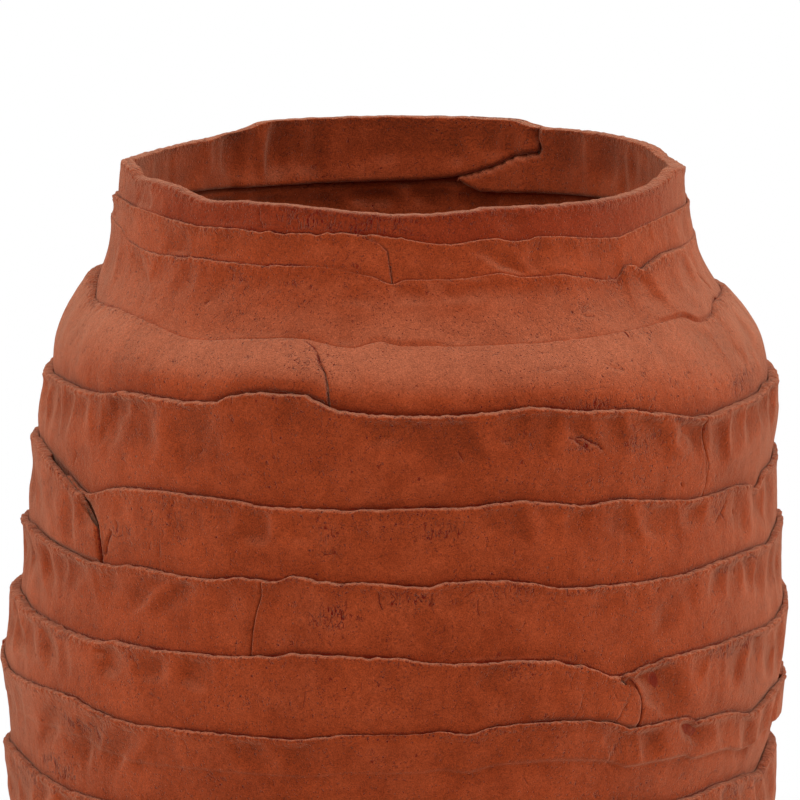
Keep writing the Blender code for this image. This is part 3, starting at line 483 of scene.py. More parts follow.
# Cracks and gouges of each course: half width, depth and a run of (azimuth, height). A pit is one point.
cracks = {
    0: [(0.5, 0.5, [(-29.6, 381.5), (-29.4, 378), (-28.6, 375.5)]),
        (0.4, 0.3, [(-29.7, 375.6), (-28, 376.6), (-25.2, 376.8)])],
    1: [(0.5, 0.4, [(-3, 369.8), (-2.7, 366.2), (-2.3, 362.2)]), (0.7, 0.6, [(-2.3, 362.2), (-1.9, 358.6)]),
        (0.7, 0.7, [(-42.5, 372.4), (-42.1, 370.4)]), (0.6, 0.5, [(-16.8, 374), (-16.3, 371.8)])],
    2: [(0.5, 0.4, [(36.9, 346.2), (35.6, 345), (34.9, 342.8), (35.6, 341.8), (37.4, 341.4)]),
        (0.45, 0.4, [(37, 344.6), (36, 343.5)]),
        (0.9, 1, [(45.2, 354.4), (45.9, 356.2), (46.9, 358), (48.2, 357.8)]),
        (0.9, 0.9, [(73.8, 348.4), (75.6, 345), (77.6, 342.6), (79.6, 340.8)]), (0.8, 0.6, [(-39.3, 346)]),
        (0.5, 0.3, [(-32.5, 355.8), (-31, 355)]), (0.5, 0.4, [(-46, 353), (-44, 351.6)])],
    3: [(0.7, 0.9,
         [(-20.9, 332.9), (-19.5, 334.2), (-17.5, 334.6), (-16, 334.3), (-15, 333), (-14.3, 331),
          (-13.4, 328.8), (-12.7, 325.5), (-12.3, 321.5), (-11.9, 317), (-11.4, 313.8)]),
        (0.4, 0.25, [(-22.5, 332.5), (-22.8, 326.2), (-22.5, 321.4), (-21.8, 317.3)]),
        (0.9, 0.9, [(-68.2, 331.2)]), (0.8, 0.8, [(-66.4, 330.9)]), (0.9, 0.8, [(-75, 325.5)]),
        (1.3, 1.2, [(42.8, 334.2)]), (0.6, 0.6, [(44.4, 334.2)]), (0.6, 0.5, [(-54.5, 327.2)]),
        (0.6, 0.5, [(-46.3, 325.3)]), (0.6, 0.5, [(-38.8, 329.6)]),
        (0.5, 0.4, [(23.8, 325.2), (25.4, 326), (26.4, 324.8), (27.6, 326.4)]),
        (0.5, 0.4, [(35.2, 325.8), (36.5, 324), (38.2, 323)]), (0.7, 0.6, [(42.4, 308.6)]),
        (0.7, 0.6, [(66.4, 305.3)]), (1.1, 1, [(83.5, 333)]), (0.5, 0.4, [(-43.4, 319.6), (-44.4, 318.4)]),
        (0.5, 0.4, [(-32.6, 314.6), (-32.2, 313)])],
    4: [(0.6, 0.5, [(-62.5, 284.6), (-62.9, 282.4), (-63.4, 280.4)]),
        (0.6, 0.5, [(-35.4, 310), (-36.6, 309.1)]),
        (0.5, 0.4, [(-33, 295.2), (-32.7, 294.2), (-33.4, 292.8)]),
        (0.5, 0.3, [(-20.5, 304.4), (-20.2, 299.5)]),
        (0.5, 0.4, [(-12.8, 309.6), (-12.3, 307.5), (-12.5, 305.4)]),
        (0.5, 0.4, [(-0.5, 308.2), (0.2, 306.8)]), (0.6, 0.6, [(1.7, 307.2), (1.9, 305.6), (1.4, 304.4)]),
        (0.8, 0.7, [(8.7, 297.2), (9.3, 294.6)]), (0.5, 0.5, [(15.4, 301), (16.6, 301.2)]),
        (0.8, 0.8, [(26.1, 301), (27.2, 299.8), (28, 298.2), (28.9, 296.8)]),
        (0.9, 1.2, [(27.3, 300.4), (28.6, 300.6), (29.4, 299.3), (30.4, 298), (31.2, 297.5), (31.8, 295.4)]),
        (0.5, 0.5, [(38.2, 300.4), (39.4, 301.2)]), (0.7, 0.6, [(39.8, 296.4)]), (0.6, 0.5, [(45.3, 295)]),
        (0.8, 0.8, [(47.9, 277.7)]), (0.6, 0.6, [(54.1, 277.2)]), (0.6, 0.5, [(43.6, 280.2), (44.2, 280.2)]),
        (0.5, 0.3, [(52.9, 299.8), (53.1, 292), (53.3, 284), (53.6, 278)]),
        (0.5, 0.4, [(-47, 308), (-46.2, 306.4)])],
    5: [(1, 1.3, [(-50.1, 258.8), (-50.8, 256.2), (-51.3, 253.4), (-51.6, 250)]),
        (0.5, 0.5, [(-41.3, 257.6), (-41.6, 255)]), (0.5, 0.5, [(-39.5, 257.4), (-39.5, 253)]),
        (0.4, 0.4, [(-39.6, 250.8), (-39.5, 248.8)]), (0.5, 0.4, [(-37.1, 274.8), (-37.2, 272.4)]),
        (0.5, 0.4, [(-41, 267), (-41.2, 264.5)]), (0.5, 0.4, [(-31.7, 268.2), (-32, 266.4)]),
        (0.5, 0.5, [(-48.9, 263.4), (-48.4, 261.2)]),
        (0.6, 0.5, [(-49.8, 258.2), (-48.6, 257.4), (-47.4, 258.4)]),
        (0.6, 0.6, [(-10.2, 261.4), (-10.1, 259.6), (-11.7, 258.9)]),
        (0.5, 0.4, [(-10, 259.6), (-9.3, 258.4)]), (0.5, 0.5, [(7.2, 270.6), (7.5, 267.8)]),
        (0.5, 0.5, [(8, 269.9), (8, 268.4)]), (0.5, 0.4, [(6.2, 271.6), (6.2, 270)]),
        (0.7, 0.6, [(56.1, 260.4), (57, 262.6), (58, 265.2), (58.9, 267.6)]),
        (0.6, 0.5, [(-60.4, 263), (-60.9, 258)]), (0.6, 0.5, [(-60.6, 253), (-61.1, 250.4)]),
        (0.8, 0.6, [(61.6, 262.5)]), (0.5, 0.4, [(2, 264.6)]), (0.5, 0.4, [(-29.1, 267.2)]),
        (0.5, 0.4, [(-36.4, 265.6), (-36.9, 263.8)])],
    6: [(0.7, 0.8, [(-3.4, 245.4), (-3.3, 241.8), (-2.9, 239.2)]),
        (0.6, 0.6, [(-1.7, 245.8), (-1, 243.6), (-0.8, 242.2)]), (0.7, 0.6, [(2.2, 244.2), (2.8, 242.4)]),
        (0.7, 0.8, [(4.4, 245), (4.4, 240.4)]), (0.5, 0.4, [(4.5, 239), (4.7, 237.6)]),
        (0.6, 0.6, [(11.2, 242.4), (11.1, 238.6), (11.4, 236.4)]), (0.6, 0.5, [(10.3, 245.6), (9.4, 243.8)]),
        (0.5, 0.4, [(15.3, 244), (15.4, 242.4)]),
        (0.6, 0.5, [(-8.2, 242.6), (-8.2, 239.2), (-8.8, 236.6), (-9.3, 234.4)]),
        (0.7, 0.6, [(-10.2, 236.2), (-10.9, 232.4)]),
        (0.5, 0.4, [(-13.8, 237.6), (-12.9, 235.4), (-12.1, 235)]),
        (0.5, 0.4, [(6.3, 233.2), (6.1, 230.6), (5.1, 229.8)]), (0.5, 0.4, [(18.3, 233), (18, 231.4)]),
        (0.9, 0.9, [(62.8, 246.4), (64.8, 245.6), (66.4, 243.8), (67.3, 242.8)]), (0.9, 0.8, [(65.1, 244.1)]),
        (0.8, 0.7, [(60.3, 240.4)]), (0.7, 0.6, [(57.1, 243.8)]), (0.7, 0.6, [(41.3, 239.9)]),
        (0.8, 0.7, [(-43.5, 239.1)]), (0.7, 0.6, [(53.6, 245)]), (0.5, 0.4, [(-8.6, 228.8), (-8.3, 227.6)]),
        (0.5, 0.4, [(-10.8, 226.4), (-10.3, 225)]),
        (0.45, 0.4, [(-21.4, 240.5), (-22, 236.5), (-22.5, 232), (-22.8, 226)]),
        (0.8, 0.9, [(-22.9, 225), (-22.8, 221.8)])],
    7: [(0.5, 0.5, [(-44.2, 215.6), (-43.7, 217.4), (-42.8, 217), (-42.2, 214.6), (-41.4, 211.4)]),
        (0.6, 0.5, [(-61.9, 217.6), (-62.3, 215.2)]),
        (0.5, 0.4, [(-13.2, 208.4), (-13.9, 208), (-14, 205.4), (-14.2, 202.2)]),
        (0.45, 0.4, [(-5.8, 211.8), (-5.8, 209.4)]), (0.6, 0.5, [(13.8, 218), (13.6, 216)]),
        (0.6, 0.5, [(15.7, 217.4), (16.6, 216.2), (16.2, 213.8)]), (0.5, 0.4, [(13.6, 201.4), (13.8, 198.8)]),
        (0.4, 0.3, [(25.8, 215.6), (25.2, 211.8), (24.8, 208.6)]),
        (0.5, 0.4, [(27, 204.4), (26.6, 200), (26, 197.2), (25.5, 194.8)]),
        (0.6, 0.6, [(34.6, 199.2), (33.9, 197), (33.3, 194.2), (32.6, 192.6)]),
        (0.5, 0.4, [(20.9, 217.6), (20.7, 215.6)]), (0.5, 0.4, [(21.6, 197.4), (20.8, 195.4)]),
        (0.45, 0.3, [(32.4, 203), (32.8, 200.6), (34.6, 200.4)]), (0.6, 0.6, [(59.5, 214.6), (58.6, 211.8)]),
        (0.7, 0.6, [(64.2, 213.6), (66.8, 212.4)]), (0.7, 0.6, [(73, 214.4), (75, 212.6)]),
        (0.8, 0.6, [(-67, 206)]), (0.6, 0.4, [(-33.4, 207.6)])],
    8: [(0.7, 0.6, [(32.2, 180.4), (32, 177)]), (0.5, 0.4, [(18.2, 174.4), (18.8, 171.6)]),
        (1, 0.9, [(-58.2, 165.4), (-58.9, 162)]), (0.6, 0.6, [(-60.2, 163), (-60.6, 160.6)]),
        (0.7, 0.6, [(-49.4, 181.8), (-48.8, 180.4)]), (0.6, 0.5, [(-55.8, 168.6), (-55, 167.4)]),
        (0.8, 0.9, [(47, 189.6), (48.4, 188.2), (49.6, 186.6)]), (0.6, 0.5, [(-56, 187), (-55.2, 185.4)]),
        (0.5, 0.4, [(-19, 173), (-18.8, 170.6)]), (0.6, 0.4, [(-32.4, 185.8)])],
}

# Where clay dried into fine cracks and pits: azimuth, height, half width in degrees, half height, strength.
driedPatches = {
    0: [(-12, 378.5, 24, 5, 1), (23, 379, 5, 5, 0.7), (46, 381, 5, 3, 0.7), (-57, 378, 7, 4, 0.5)],
    1: [(-64, 368, 8, 5, 0.3), (-38, 372, 8, 3, 0.5)],
    2: [(-30, 356, 30, 4, 0.3), (36, 344, 4, 4, 0.6), (57, 355, 12, 5, 0.4)],
    3: [(-17, 326, 5, 9, 0.75), (40, 312, 24, 7, 0.7), (-40, 322, 14, 7, 0.4), (70, 310, 10, 7, 0.9)],
    4: [(-46, 308, 12, 4, 0.6), (-33, 303, 3, 7, 0.7), (0, 308, 6, 3, 0.7), (29, 298, 4, 4, 0.9),
        (39, 296, 5, 8, 0.8), (49, 304, 6, 4, 0.9), (45, 283, 5, 6, 0.7), (-74, 302, 6, 5, 0.5)],
    5: [(-48, 260, 5, 5, 0.9), (-35, 268, 9, 8, 0.7), (-11, 266, 3, 8, 0.9), (-3, 270, 4, 6, 0.6),
        (6, 268, 5, 6, 0.8), (57, 266, 4, 8, 0.7), (-60, 258, 3, 8, 0.6), (-68, 268, 6, 5, 0.4)],
    6: [(-11, 235, 5, 8, 0.8), (2, 243, 7, 5, 0.85), (-16, 226, 5, 4, 0.8), (14, 243, 6, 4, 0.7),
        (60, 243, 9, 4, 0.8), (-70, 243, 8, 4, 0.4)],
    7: [(-43, 214, 3, 5, 0.7), (-62, 214, 5, 5, 0.6), (15, 215, 4, 4, 0.7), (38, 200, 4, 8, 0.6),
        (58, 212, 12, 4, 1), (-18, 205, 8, 6, 0.4)],
    8: [(-52, 184, 10, 8, 0.9), (-60, 166, 8, 6, 1), (34, 182, 4, 6, 0.8), (45, 165, 12, 6, 0.6),
        (-26, 186, 3, 6, 0.6)],
    9: [(-70, 157, 10, 5, 1), (68, 156, 12, 5, 1)],
}


def turnedFrom(azimuth, where):
    return (azimuth - where + 180) % 360 - 180


# Scattered dents, in ranges of the same measures, for the part of a course where none is placed.
scatteredDents = {"apart": (4.4, 7.5), "below": (8, 11), "halfWidth": (2.2, 3.2), "halfHeight": (5.5, 9),
                  "deep": (0.3, 1.2), "slant": (-0.15, 0.15), "placedUpTo": 83.5,
                  "calmCourses": (0, 3), "calm": 0.4}


# Dents of a course: the ones placed at the front, then scattered ones round the rest.
def allDents(number):
    chance = np.random.default_rng(100 + number)
    placed = scatteredDents["placedUpTo"]
    azimuth, end = (placed, 360 - placed) if number < pot["seenCourses"] else (-180.0, 180)
    calm = scatteredDents["calm"] if number in scatteredDents["calmCourses"] else 1
    measures = ("below", "halfWidth", "halfHeight", "deep", "slant")
    scattered = []
    while azimuth < end:
        azimuth += chance.uniform(*scatteredDents["apart"])
        below, halfWidth, halfHeight, deep, slant = (chance.uniform(*scatteredDents[key]) for key in measures)
        level = seams[number]["height"] - below
        scattered.append((azimuth, level, halfWidth, halfHeight, deep * calm, slant))
    return dents.get(number, []) + scattered


# How far finger dents sink a face, in mm: soft hollows, steeper on one side and running out towards the lip.
def fingerDents(places, azimuth, height, wander, wider):
    sunk = np.full_like(azimuth, 1e-4)
    for where, level, halfWidth, halfHeight, deep, *slant in places:
        near = (np.abs(turnedFrom(azimuth, where)) < 13) & (np.abs(height - level) < 2.6 * halfHeight)
        dz = height[near] - level
        skew = math.sin(where * 7.3)
        lean = sum(slant) + 0.14 * math.sin(where * 3.1)
        u = (turnedFrom(azimuth[near], where) - lean * dz) / halfWidth
        u = u + 0.26 * wander[near] + 0.22 * wider[near]
        u = u * (1 + 0.32 * skew * np.tanh(1.5 * u))
        v = dz / (halfHeight * np.where(dz > 0, 1.35, 1.0)) + 0.35 * wider[near]
        sunk[near] += (deep * np.exp(-1.0 * np.abs(u) ** 2.3 - 0.95 * np.abs(v) ** 2.4)) ** 4
    return sunk ** 0.25 - 0.1


# Signed distance to the nearest placed crack as a share of its half width, how plain that crack is, how far
# it sinks the face, and the distance itself.
def nearCracks(number, azimuth, height, mmPerDegree):
    reach = 4                                                    # mm to each side of a crack that it sinks
    distance = np.full_like(azimuth, pot["farAway"])
    side = np.full_like(azimuth, pot["farAway"])
    kept = np.zeros_like(azimuth)
    sunk = np.zeros_like(azimuth)
    x = azimuth * mmPerDegree
    for width, deep, run in cracks.get(number, []):
        corners = [(a * mmPerDegree, z) for a, z in run]
        if len(corners) == 1:
            (cx, cz), lean = corners[0], 0.6 * width * math.sin(run[0][0] * 5)
            corners = [(cx - lean, cz + 0.7 * width), (cx + lean, cz - 0.7 * width)]
        for place, ((x0, y0), (x1, y1)) in enumerate(zip(corners, corners[1:])):
            near = ((x > min(x0, x1) - reach) & (x < max(x0, x1) + reach)
                    & (height > min(y0, y1) - reach) & (height < max(y0, y1) + reach))
            dx, dy = x1 - x0, y1 - y0
            length = math.hypot(dx, dy)
            along = ((x[near] - x0) * dx + (height[near] - y0) * dy) / length
            across = ((x[near] - x0) * dy - (height[near] - y0) * dx) / length
            beforeStart = -along if place == 0 else 0
            pastEnd = along - length if place == len(corners) - 2 else 0
            beyond = np.maximum(np.maximum(beforeStart, pastEnd), 0)
            off = np.hypot(across, np.maximum(np.maximum(-along, along - length), 0))
            closer = off < distance[near]
            spots = np.flatnonzero(near.ravel())[closer.ravel()]
            plain = min(0.9, 0.35 + 0.5 * deep) * smooth(1 - beyond / (0.5 + width)) * smooth(3 - off)
            distance.ravel()[spots] = off[closer]
            side.ravel()[spots] = (np.where(across < 0, -1, 1) * off)[closer] / (pot["crackUnit"] * width)
            kept.ravel()[spots] = plain[closer]
            sunk[near] = np.maximum(sunk[near], deep * 0.7 * bell(off, max(0.7 * width, 0.5)))
    return side, kept, sunk, distance


# Unevenness of an outer face: each kind's depth, and its spread along and up the wall, in mm.
pressing = {
    "swell": (0.38, 38, 30),
    "press": (0.30, 12, 17),
    "slanting": (0.22, 9, 22),
    "wrinkle": (0.09, 4.5, 5.5),
    "grain": (0.05, 2.1, 2.1),
    "drag": (0.09, 30, 40),
    "dried": (0.10, 1.7, 1.7),
    "calmRim": 0.6,         # how strongly the rim is pressed, as a share of the other courses
    "dentDepth": 2.3,       # finger dents, and those inside, are this many times as deep as written
    "innerDentDepth": 2.8,
    "lip": (0.34, 0.2),     # how ragged a lip is, and how far it swells
}


# Rise or fall of a course's outer face, in mm outwards, from fingers, dragging and the clay's own grain.
def pressedFace(number, azimuth, height, depth):
    spot = onClay(azimuth, height)
    seed = 40 * number
    calm = pressing["calmRim"] if number == 0 else 1.0

    def layer(name, offset):
        deep, along, up = pressing[name]
        return deep * uneven(spot, along, up, seed + offset)

    press = layer("press", 2)
    deep, along, up = pressing["slanting"]
    slanting = deep * noise(spot[0] / along + height / 14, spot[1] / along, height / up, seed + 12)
    rise = calm * (layer("swell", 1) + press + slanting) + layer("wrinkle", 3) + layer("grain", 4)
    deep, along, up = pressing["drag"]
    dragged = smooth(0.5 + 0.9 * uneven(spot, along, up, seed + 5))
    rise = rise + deep * dragged * noise(azimuth * 2.58 / 3.2, height / 26, 0 * height, seed + 6)
    wander, wider = uneven(spot, 6, 6, seed + 9), press / pressing["press"][0]
    sunk = fingerDents(allDents(number), azimuth, height, wander, wider)
    rise = rise - courses[number].get("dentDepth", pressing["dentDepth"]) * smooth((depth - 0.3) / 3.2) * sunk
    ragged = uneven(spot, 2.8, 2.8, seed + 7) + 0.8 * uneven(spot, 1.5, 1.5, seed + 8)
    rise = rise + bell(depth, 2.4) * (pressing["lip"][0] * ragged + pressing["lip"][1])

    dried = np.zeros_like(azimuth)
    for where, level, halfWidth, halfHeight, strength in driedPatches.get(number, []):
        u, v = turnedFrom(azimuth, where) / halfWidth, (height - level) / halfHeight
        dried = np.maximum(dried, strength * np.exp(-np.abs(u) ** 3 - np.abs(v) ** 3))
    return rise + dried * layer("dried", 13), dried


# Rise or fall of a course's inner face, in mm outwards.
def pressedInside(number, azimuth, height):
    spot = onClay(azimuth, height)
    swirl = uneven(spot, 8, 14, 530 + number)
    hollows = fingerDents(innerDents.get(number, []), azimuth, height, swirl, swirl)
    return (0.6 * uneven(spot, 16, 40, 500 + number) + 0.4 * swirl
            + 0.16 * uneven(spot, 3.2, 3.2, 560 + number) + pressing["innerDentDepth"] * hollows)


# Unevenness of a lip's height along its length.
def lipRaggedness(number, azimuth):
    spot = onClay(azimuth, np.full_like(azimuth, number * 3.7))
    return (0.30 * uneven(spot, 7, 1, 900 + number) + 0.34 * uneven(spot, 3.2, 1, 930 + number)
            + 0.26 * uneven(spot, 1.5, 1, 960 + number))


# Azimuths of a strap's columns: close together at its two ends and on the front, wider at the back.
def strapColumns(start, stop, radius):
    ends = strapGrid["ends"]
    perMm = math.degrees(1 / radius)
    columns = [start + e * perMm for e in ends]
    last = stop - ends[-1] * perMm
    while columns[-1] < last - 0.6 * strapGrid["fine"] * perMm:
        front = abs((columns[-1] + 180) % 360 - 180) < 94
        columns.append(min(columns[-1] + strapGrid["fine" if front else "coarse"] * perMm, last))
    return np.array(columns + [stop - e * perMm for e in reversed(ends[:-1])])


# Rows round a strap's section, from its inner foot edge up, over the lip, down the outer face and back.
# Each is (side, zone, place): inner 0 or outer 1, zone by name, and mm or a share within the zone.
def strapRows(number):
    band = seams[number]["height"] - seams[number + 1]["height"]
    grain = strapGrid["fine" if number < pot["seenCourses"] else "coarse"]
    inside = max(6, round((band + 5) / strapGrid["insideFine" if number < 3 else "insideCoarse"]))
    faces = max(6, round((band - strapGrid["lipOutside"][-1]) / grain))
    rows = [(0, "foot", e) for e in strapGrid["footInside"]]
    rows += [(0, "inside", 1 - n / inside) for n in range(1, inside)]
    rows += [(0, "lip", d) for d in strapGrid["lipInside"]]
    rows += [(1, "lip", d) for d in strapGrid["lipOutside"]]
    rows += [(1, "face", n / faces) for n in range(1, faces + 1)]
    rows += [(1, "tuck", n / 5) for n in range(1, 5)]
    rows += [(1, "foot", e) for e in strapGrid["footOutside"]]
    return rows + [(0, "foot", 0.0)]


# Height of every corner of a strap, and the heights of the lip, the lip below and the foot there.
def rowHeights(number, label, azimuth, rows):
    top, below, foot = lipAt(number, azimuth), lipAt(number + 1, azimuth), footHeight(number, label, azimuth)
    z = np.zeros_like(azimuth)
    for j, (_, zone, place) in enumerate(rows):
        t, b, f = top[:, j], below[:, j], foot[:, j]
        if zone == "lip":
            z[:, j] = t - place
        elif zone == "foot":
            z[:, j] = f + place
        else:
            start, stop = {
                "inside": (t - strapGrid["lipInside"][0], f + strapGrid["footInside"][-1]),
                "face": (t - strapGrid["lipOutside"][-1], b),
                "tuck": (b, np.minimum(f + strapGrid["footOutside"][0], b - 0.5)),
            }[zone]
            z[:, j] = start * (1 - place) + stop * place
    return z, top, below, foot


# Azimuths at some heights of a strap's end where no edge is written: leaning, and worn back at its corner.
def wornEdge(number, azimuth):
    top, below = float(lipAt(number, azimuth)), float(lipAt(number + 1, azimuth))
    lean = 1.2 * math.sin(azimuth * 1.7 + number)
    shape = [(0.0, -lean), (0.25, -0.5 * lean - 0.3), (0.5, 0.3), (0.72, 0.5 * lean),
             (0.88, 0.6 * lean - 0.8), (1.0, lean - 2.4)]
    return [(below + (top - below) * share, azimuth + shift) for share, shift in shape]


# Places every corner of a strap: a flat grid of columns and rows is bent round into its course.
def bendStrap(number, label, first, last, columns, rows):
    course = courses[number]
    mmPerDegree = math.radians(seamRadius(number, 0, seams[number]["height"]))
    isOuter = np.array([r[0] for r in rows])[None, :] == 1
    azimuth = np.repeat(columns[:, None], len(rows), 1)
    z, *_ = rowHeights(number, label, azimuth, rows)
    run = pot["slantRun"]
    if last["side"] > 0:
        share = smooth((columns[:, None] - columns[-1] + run) / run)
        azimuth = azimuth + (readRun(last["edge"], z) - last["azimuth"]) * share
    if first["side"] < 0:
        share = smooth((columns[0] + run - columns[:, None]) / run)
        azimuth = azimuth + (readRun(first["edge"], z) - first["azimuth"]) * share
    z, top, below, foot = rowHeights(number, label, azimuth, rows)
    depth = top - z
    inner, outer = plainWall(number, azimuth, z, foot)

    # The two laps: an over end rises outside the other strap's under end
    shelf = shelfHeight(top, top - below)
    upper = smooth((z - below) / 2.0)
    lower = smooth((shelf - z) / 4.0) if number else 1.0 + 0 * z
    wholeInner, wholeOuter = inner.copy(), outer.copy()
    lapSide = np.full_like(z, pot["farAway"])
    lapKept = np.zeros_like(z)
    shelter = np.zeros_like(z)
    otherFoot = footHeight(number, course["straps"][label == course["straps"][0]], azimuth)
    for joint, over in ((first, first["side"] < 0), (last, last["side"] > 0)):
        inLap = joint["side"] * (readRun(joint["edge"], z) - azimuth) * mmPerDegree    # mm before the over tip
        close = np.abs(azimuth - joint["azimuth"]) < 40
        share = np.clip(1 - inLap / pot["endLap"], 0, 1)
        split = joint["underTip"] + (joint["overTip"] - joint["underTip"]) * share
        swell = smooth((pot["endLap"] + pot["swellRun"] - inLap) / pot["swellRun"])
        sinking = joint["rise"] * 0.6 * lower
        raised = wholeOuter + joint["rise"] * upper * swell
        swell = swell * smooth((inLap + 2) / 2)
        risen = wholeOuter + joint["rise"] * upper * swell
        cut = (wholeInner - sinking * swell) * (1 - split) + risen * split
        if over:
            within = smooth((pot["endLap"] + 2 - inLap) / 3) * smooth((z - otherFoot + 1.2) / 1.5)
            shelter = np.where(close & ~isOuter, within, shelter)
            newInner = wholeInner * (1 - within) + (cut + pot["gap"] / 2) * within
            share = np.clip(inLap / joint["tip"], 0, 1)
            newOuter = newInner + 0.3 + (raised - newInner - 0.3) * np.sqrt(1 - (1 - share) ** 2)
        else:
            opened = smooth((0.8 * joint["notch"] - inLap) / (1.5 * joint["notch"]))
            newOuter = (cut - pot["gap"] / 2) * (1 - opened) + wholeOuter * opened
            shelter = np.where(close & isOuter, 1 - opened, shelter)
            newInner = wholeInner - sinking * smooth((inLap + 14) / 14)
            share = np.clip((pot["endLap"] - inLap) / 2.2, 0, 1)
            newInner = newOuter - 0.3 - (newOuter - newInner - 0.3) * np.sqrt(1 - (1 - share) ** 2)
        outer = np.where(close, newOuter, outer)
        inner = np.where(close, newInner, inner)
        byTip = close & (np.abs(inLap) < 3)
        lapSide = np.where(byTip, inLap / pot["crackUnit"], lapSide)
        lapKept = np.where(byTip, joint["line"], lapKept)

    # Lips and feet are rounded, and the clay is pressed and grainy where it can be seen
    angle = np.radians(azimuth)
    lipSpot = onClay(azimuth, 0 * z)
    smear = smearAt(number, azimuth)
    lipRound = seams[number]["round"] * (1 - 0.95 * smear) + 0.02
    lipRound = lipRound * (0.8 + 0.35 * uneven(lipSpot, 14, 1, 720 + number))
    outer = outer - roundEdge(depth, lipRound) * 0.9 * (1 - shelter * isOuter) - roundEdge(z - foot, 1.0)
    opening = 0.5 + 0.5 * uneven(lipSpot, 9, 1, 700 + number)
    inner = inner + roundEdge(depth, 0.4 + 0.5 * lipRound * opening) * (1 - shelter * ~isOuter)
    inner = inner + roundEdge(z - foot, course.get("footRound", 1.4))
    face, dried = pressedFace(number, azimuth, z, depth)
    darkLineSide, darkLineKept, crackSunk, crackNear = nearCracks(number, azimuth, z, mmPerDegree)
    face = (face - crackSunk) * (1 - 0.95 * smear * bell(depth, 4)) * smooth((z - below) / 2.5)
    bare = smooth((shelf - z - 1) / 4.0) if number else smooth((depth + 1) / 2)
    inside = pressedInside(number, azimuth, z) * bare
    outer = outer + face
    inner = inner + inside
    both = np.where(isOuter, outer, inner)
    both = np.where((outer - inner < 0.5) & ~isOuter, outer - 0.5, both)
    ragged = lipRaggedness(number, azimuth) * (0.5 if number == 0 else 1.0)
    z = z + ragged * bell(depth, 3.2) * (1 - 0.8 * smear)

    # How near a corner is to the crevice of its own lip, or of the lip below it, and which crack is nearest
    away = np.full_like(z, pot["farAway"])
    above = np.maximum(z - below, 0)
    ownCrevice = np.hypot(outer - seamRadius(number, azimuth, z), depth) if number else away
    # Painted shade: clay just above the lip below is darkened where that lip shelters it, less where smeared
    paintedShade = 1 - 0.20 * np.exp(-above / 1.2) * (1 - 0.8 * smearAt(number + 1, azimuth))
    # The rim is made darker, most at its front
    darker = course.get("darker", 0) * np.clip(1.4 * np.cos(angle), 0, 1)
    # Near a joint's tip the dark line masks carry the painted shadow line at the over end's edge
    byLap = (np.abs(lapSide) < 6) & (upper > 0.1) & (np.abs(lapSide) * pot["crackUnit"] < crackNear)
    masks = {
        "relief": np.where(isOuter, face, -inside),
        "lip": bell(depth, 2.8) * (1 - 0.85 * smear),
        "dried": np.where(isOuter, dried, 0.1),
        "darkLineSide": np.where(isOuter, np.where(byLap, lapSide, darkLineSide), away),
        "darkLineKept": np.where(isOuter, np.where(byLap, lapKept, darkLineKept), 0.0),
        "seamAway": np.where(isOuter, np.minimum(ownCrevice, 0.6 * above), away),
        "seamLine": np.where(ownCrevice < above, lineAt(number, azimuth), lineAt(number + 1, azimuth)),
        "shade": np.where(isOuter, paintedShade * (1 - darker), 1.0),
    }
    points = np.stack([both * np.sin(angle), -both * np.cos(angle), z], -1)
    return points, masks, np.stack([azimuth * mmPerDegree, z, both], -1) / 1000


# Keeps the finished clay inside the frame's box, easing the last part of a millimetre.
def keepInside(points, easeFrom=0.7, easeOver=0.6):
    for axis in range(3):
        for sign, limit in ((1, cadHigh[axis] * 1000), (-1, -cadLow[axis] * 1000)):
            if axis == 2 and sign < 0:
                continue
            value = points[:, axis] * sign
            over = value - (limit - easeFrom)
            eased = limit - easeFrom + easeOver * (1 - np.exp(-np.maximum(over, 0) / easeOver))
            points[:, axis] = np.where(over > 0, eased, value) * sign
    return points


# A mesh's corners as rows of x, y and z, and the way to set them.
def readCorners(mesh):
    flat = np.zeros(len(mesh.vertices) * 3, np.float32)
    mesh.vertices.foreach_get("co", flat)
    return flat.reshape(-1, 3)


def setCorners(mesh, points):
    mesh.vertices.foreach_set("co", (keepInside(points) / 1000).astype(np.float32).ravel())


# What the clay's material reads at each corner: number masks, its place as arc length, height and radius, and
# how far its face looks up, from -1 to 1.
def writeAttributes(mesh, masks, place):
    normals = np.zeros(len(mesh.vertices) * 3, np.float32)
    mesh.vertex_normals.foreach_get("vector", normals)
    for key, value in {**masks, "upward": normals[2::3]}.items():
        mesh.attributes.new(key, "FLOAT", "POINT").data.foreach_set("value", value.astype(np.float32))
    stored = mesh.attributes.new("place", "FLOAT_VECTOR", "POINT")
    stored.data.foreach_set("vector", place.astype(np.float32).ravel())


def addObject(name, data):
    made = bpy.data.objects.new(name, data)
    bpy.context.scene.collection.objects.link(made)
    return made


# Puts a finished mesh of clay in its node's place.
def finishClay(mesh, node, material):
    mesh.shade_smooth()
    mesh.materials.append(material)
    piece = addObject(mesh.name, mesh)
    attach(piece, "root")
    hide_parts(node)
    return piece


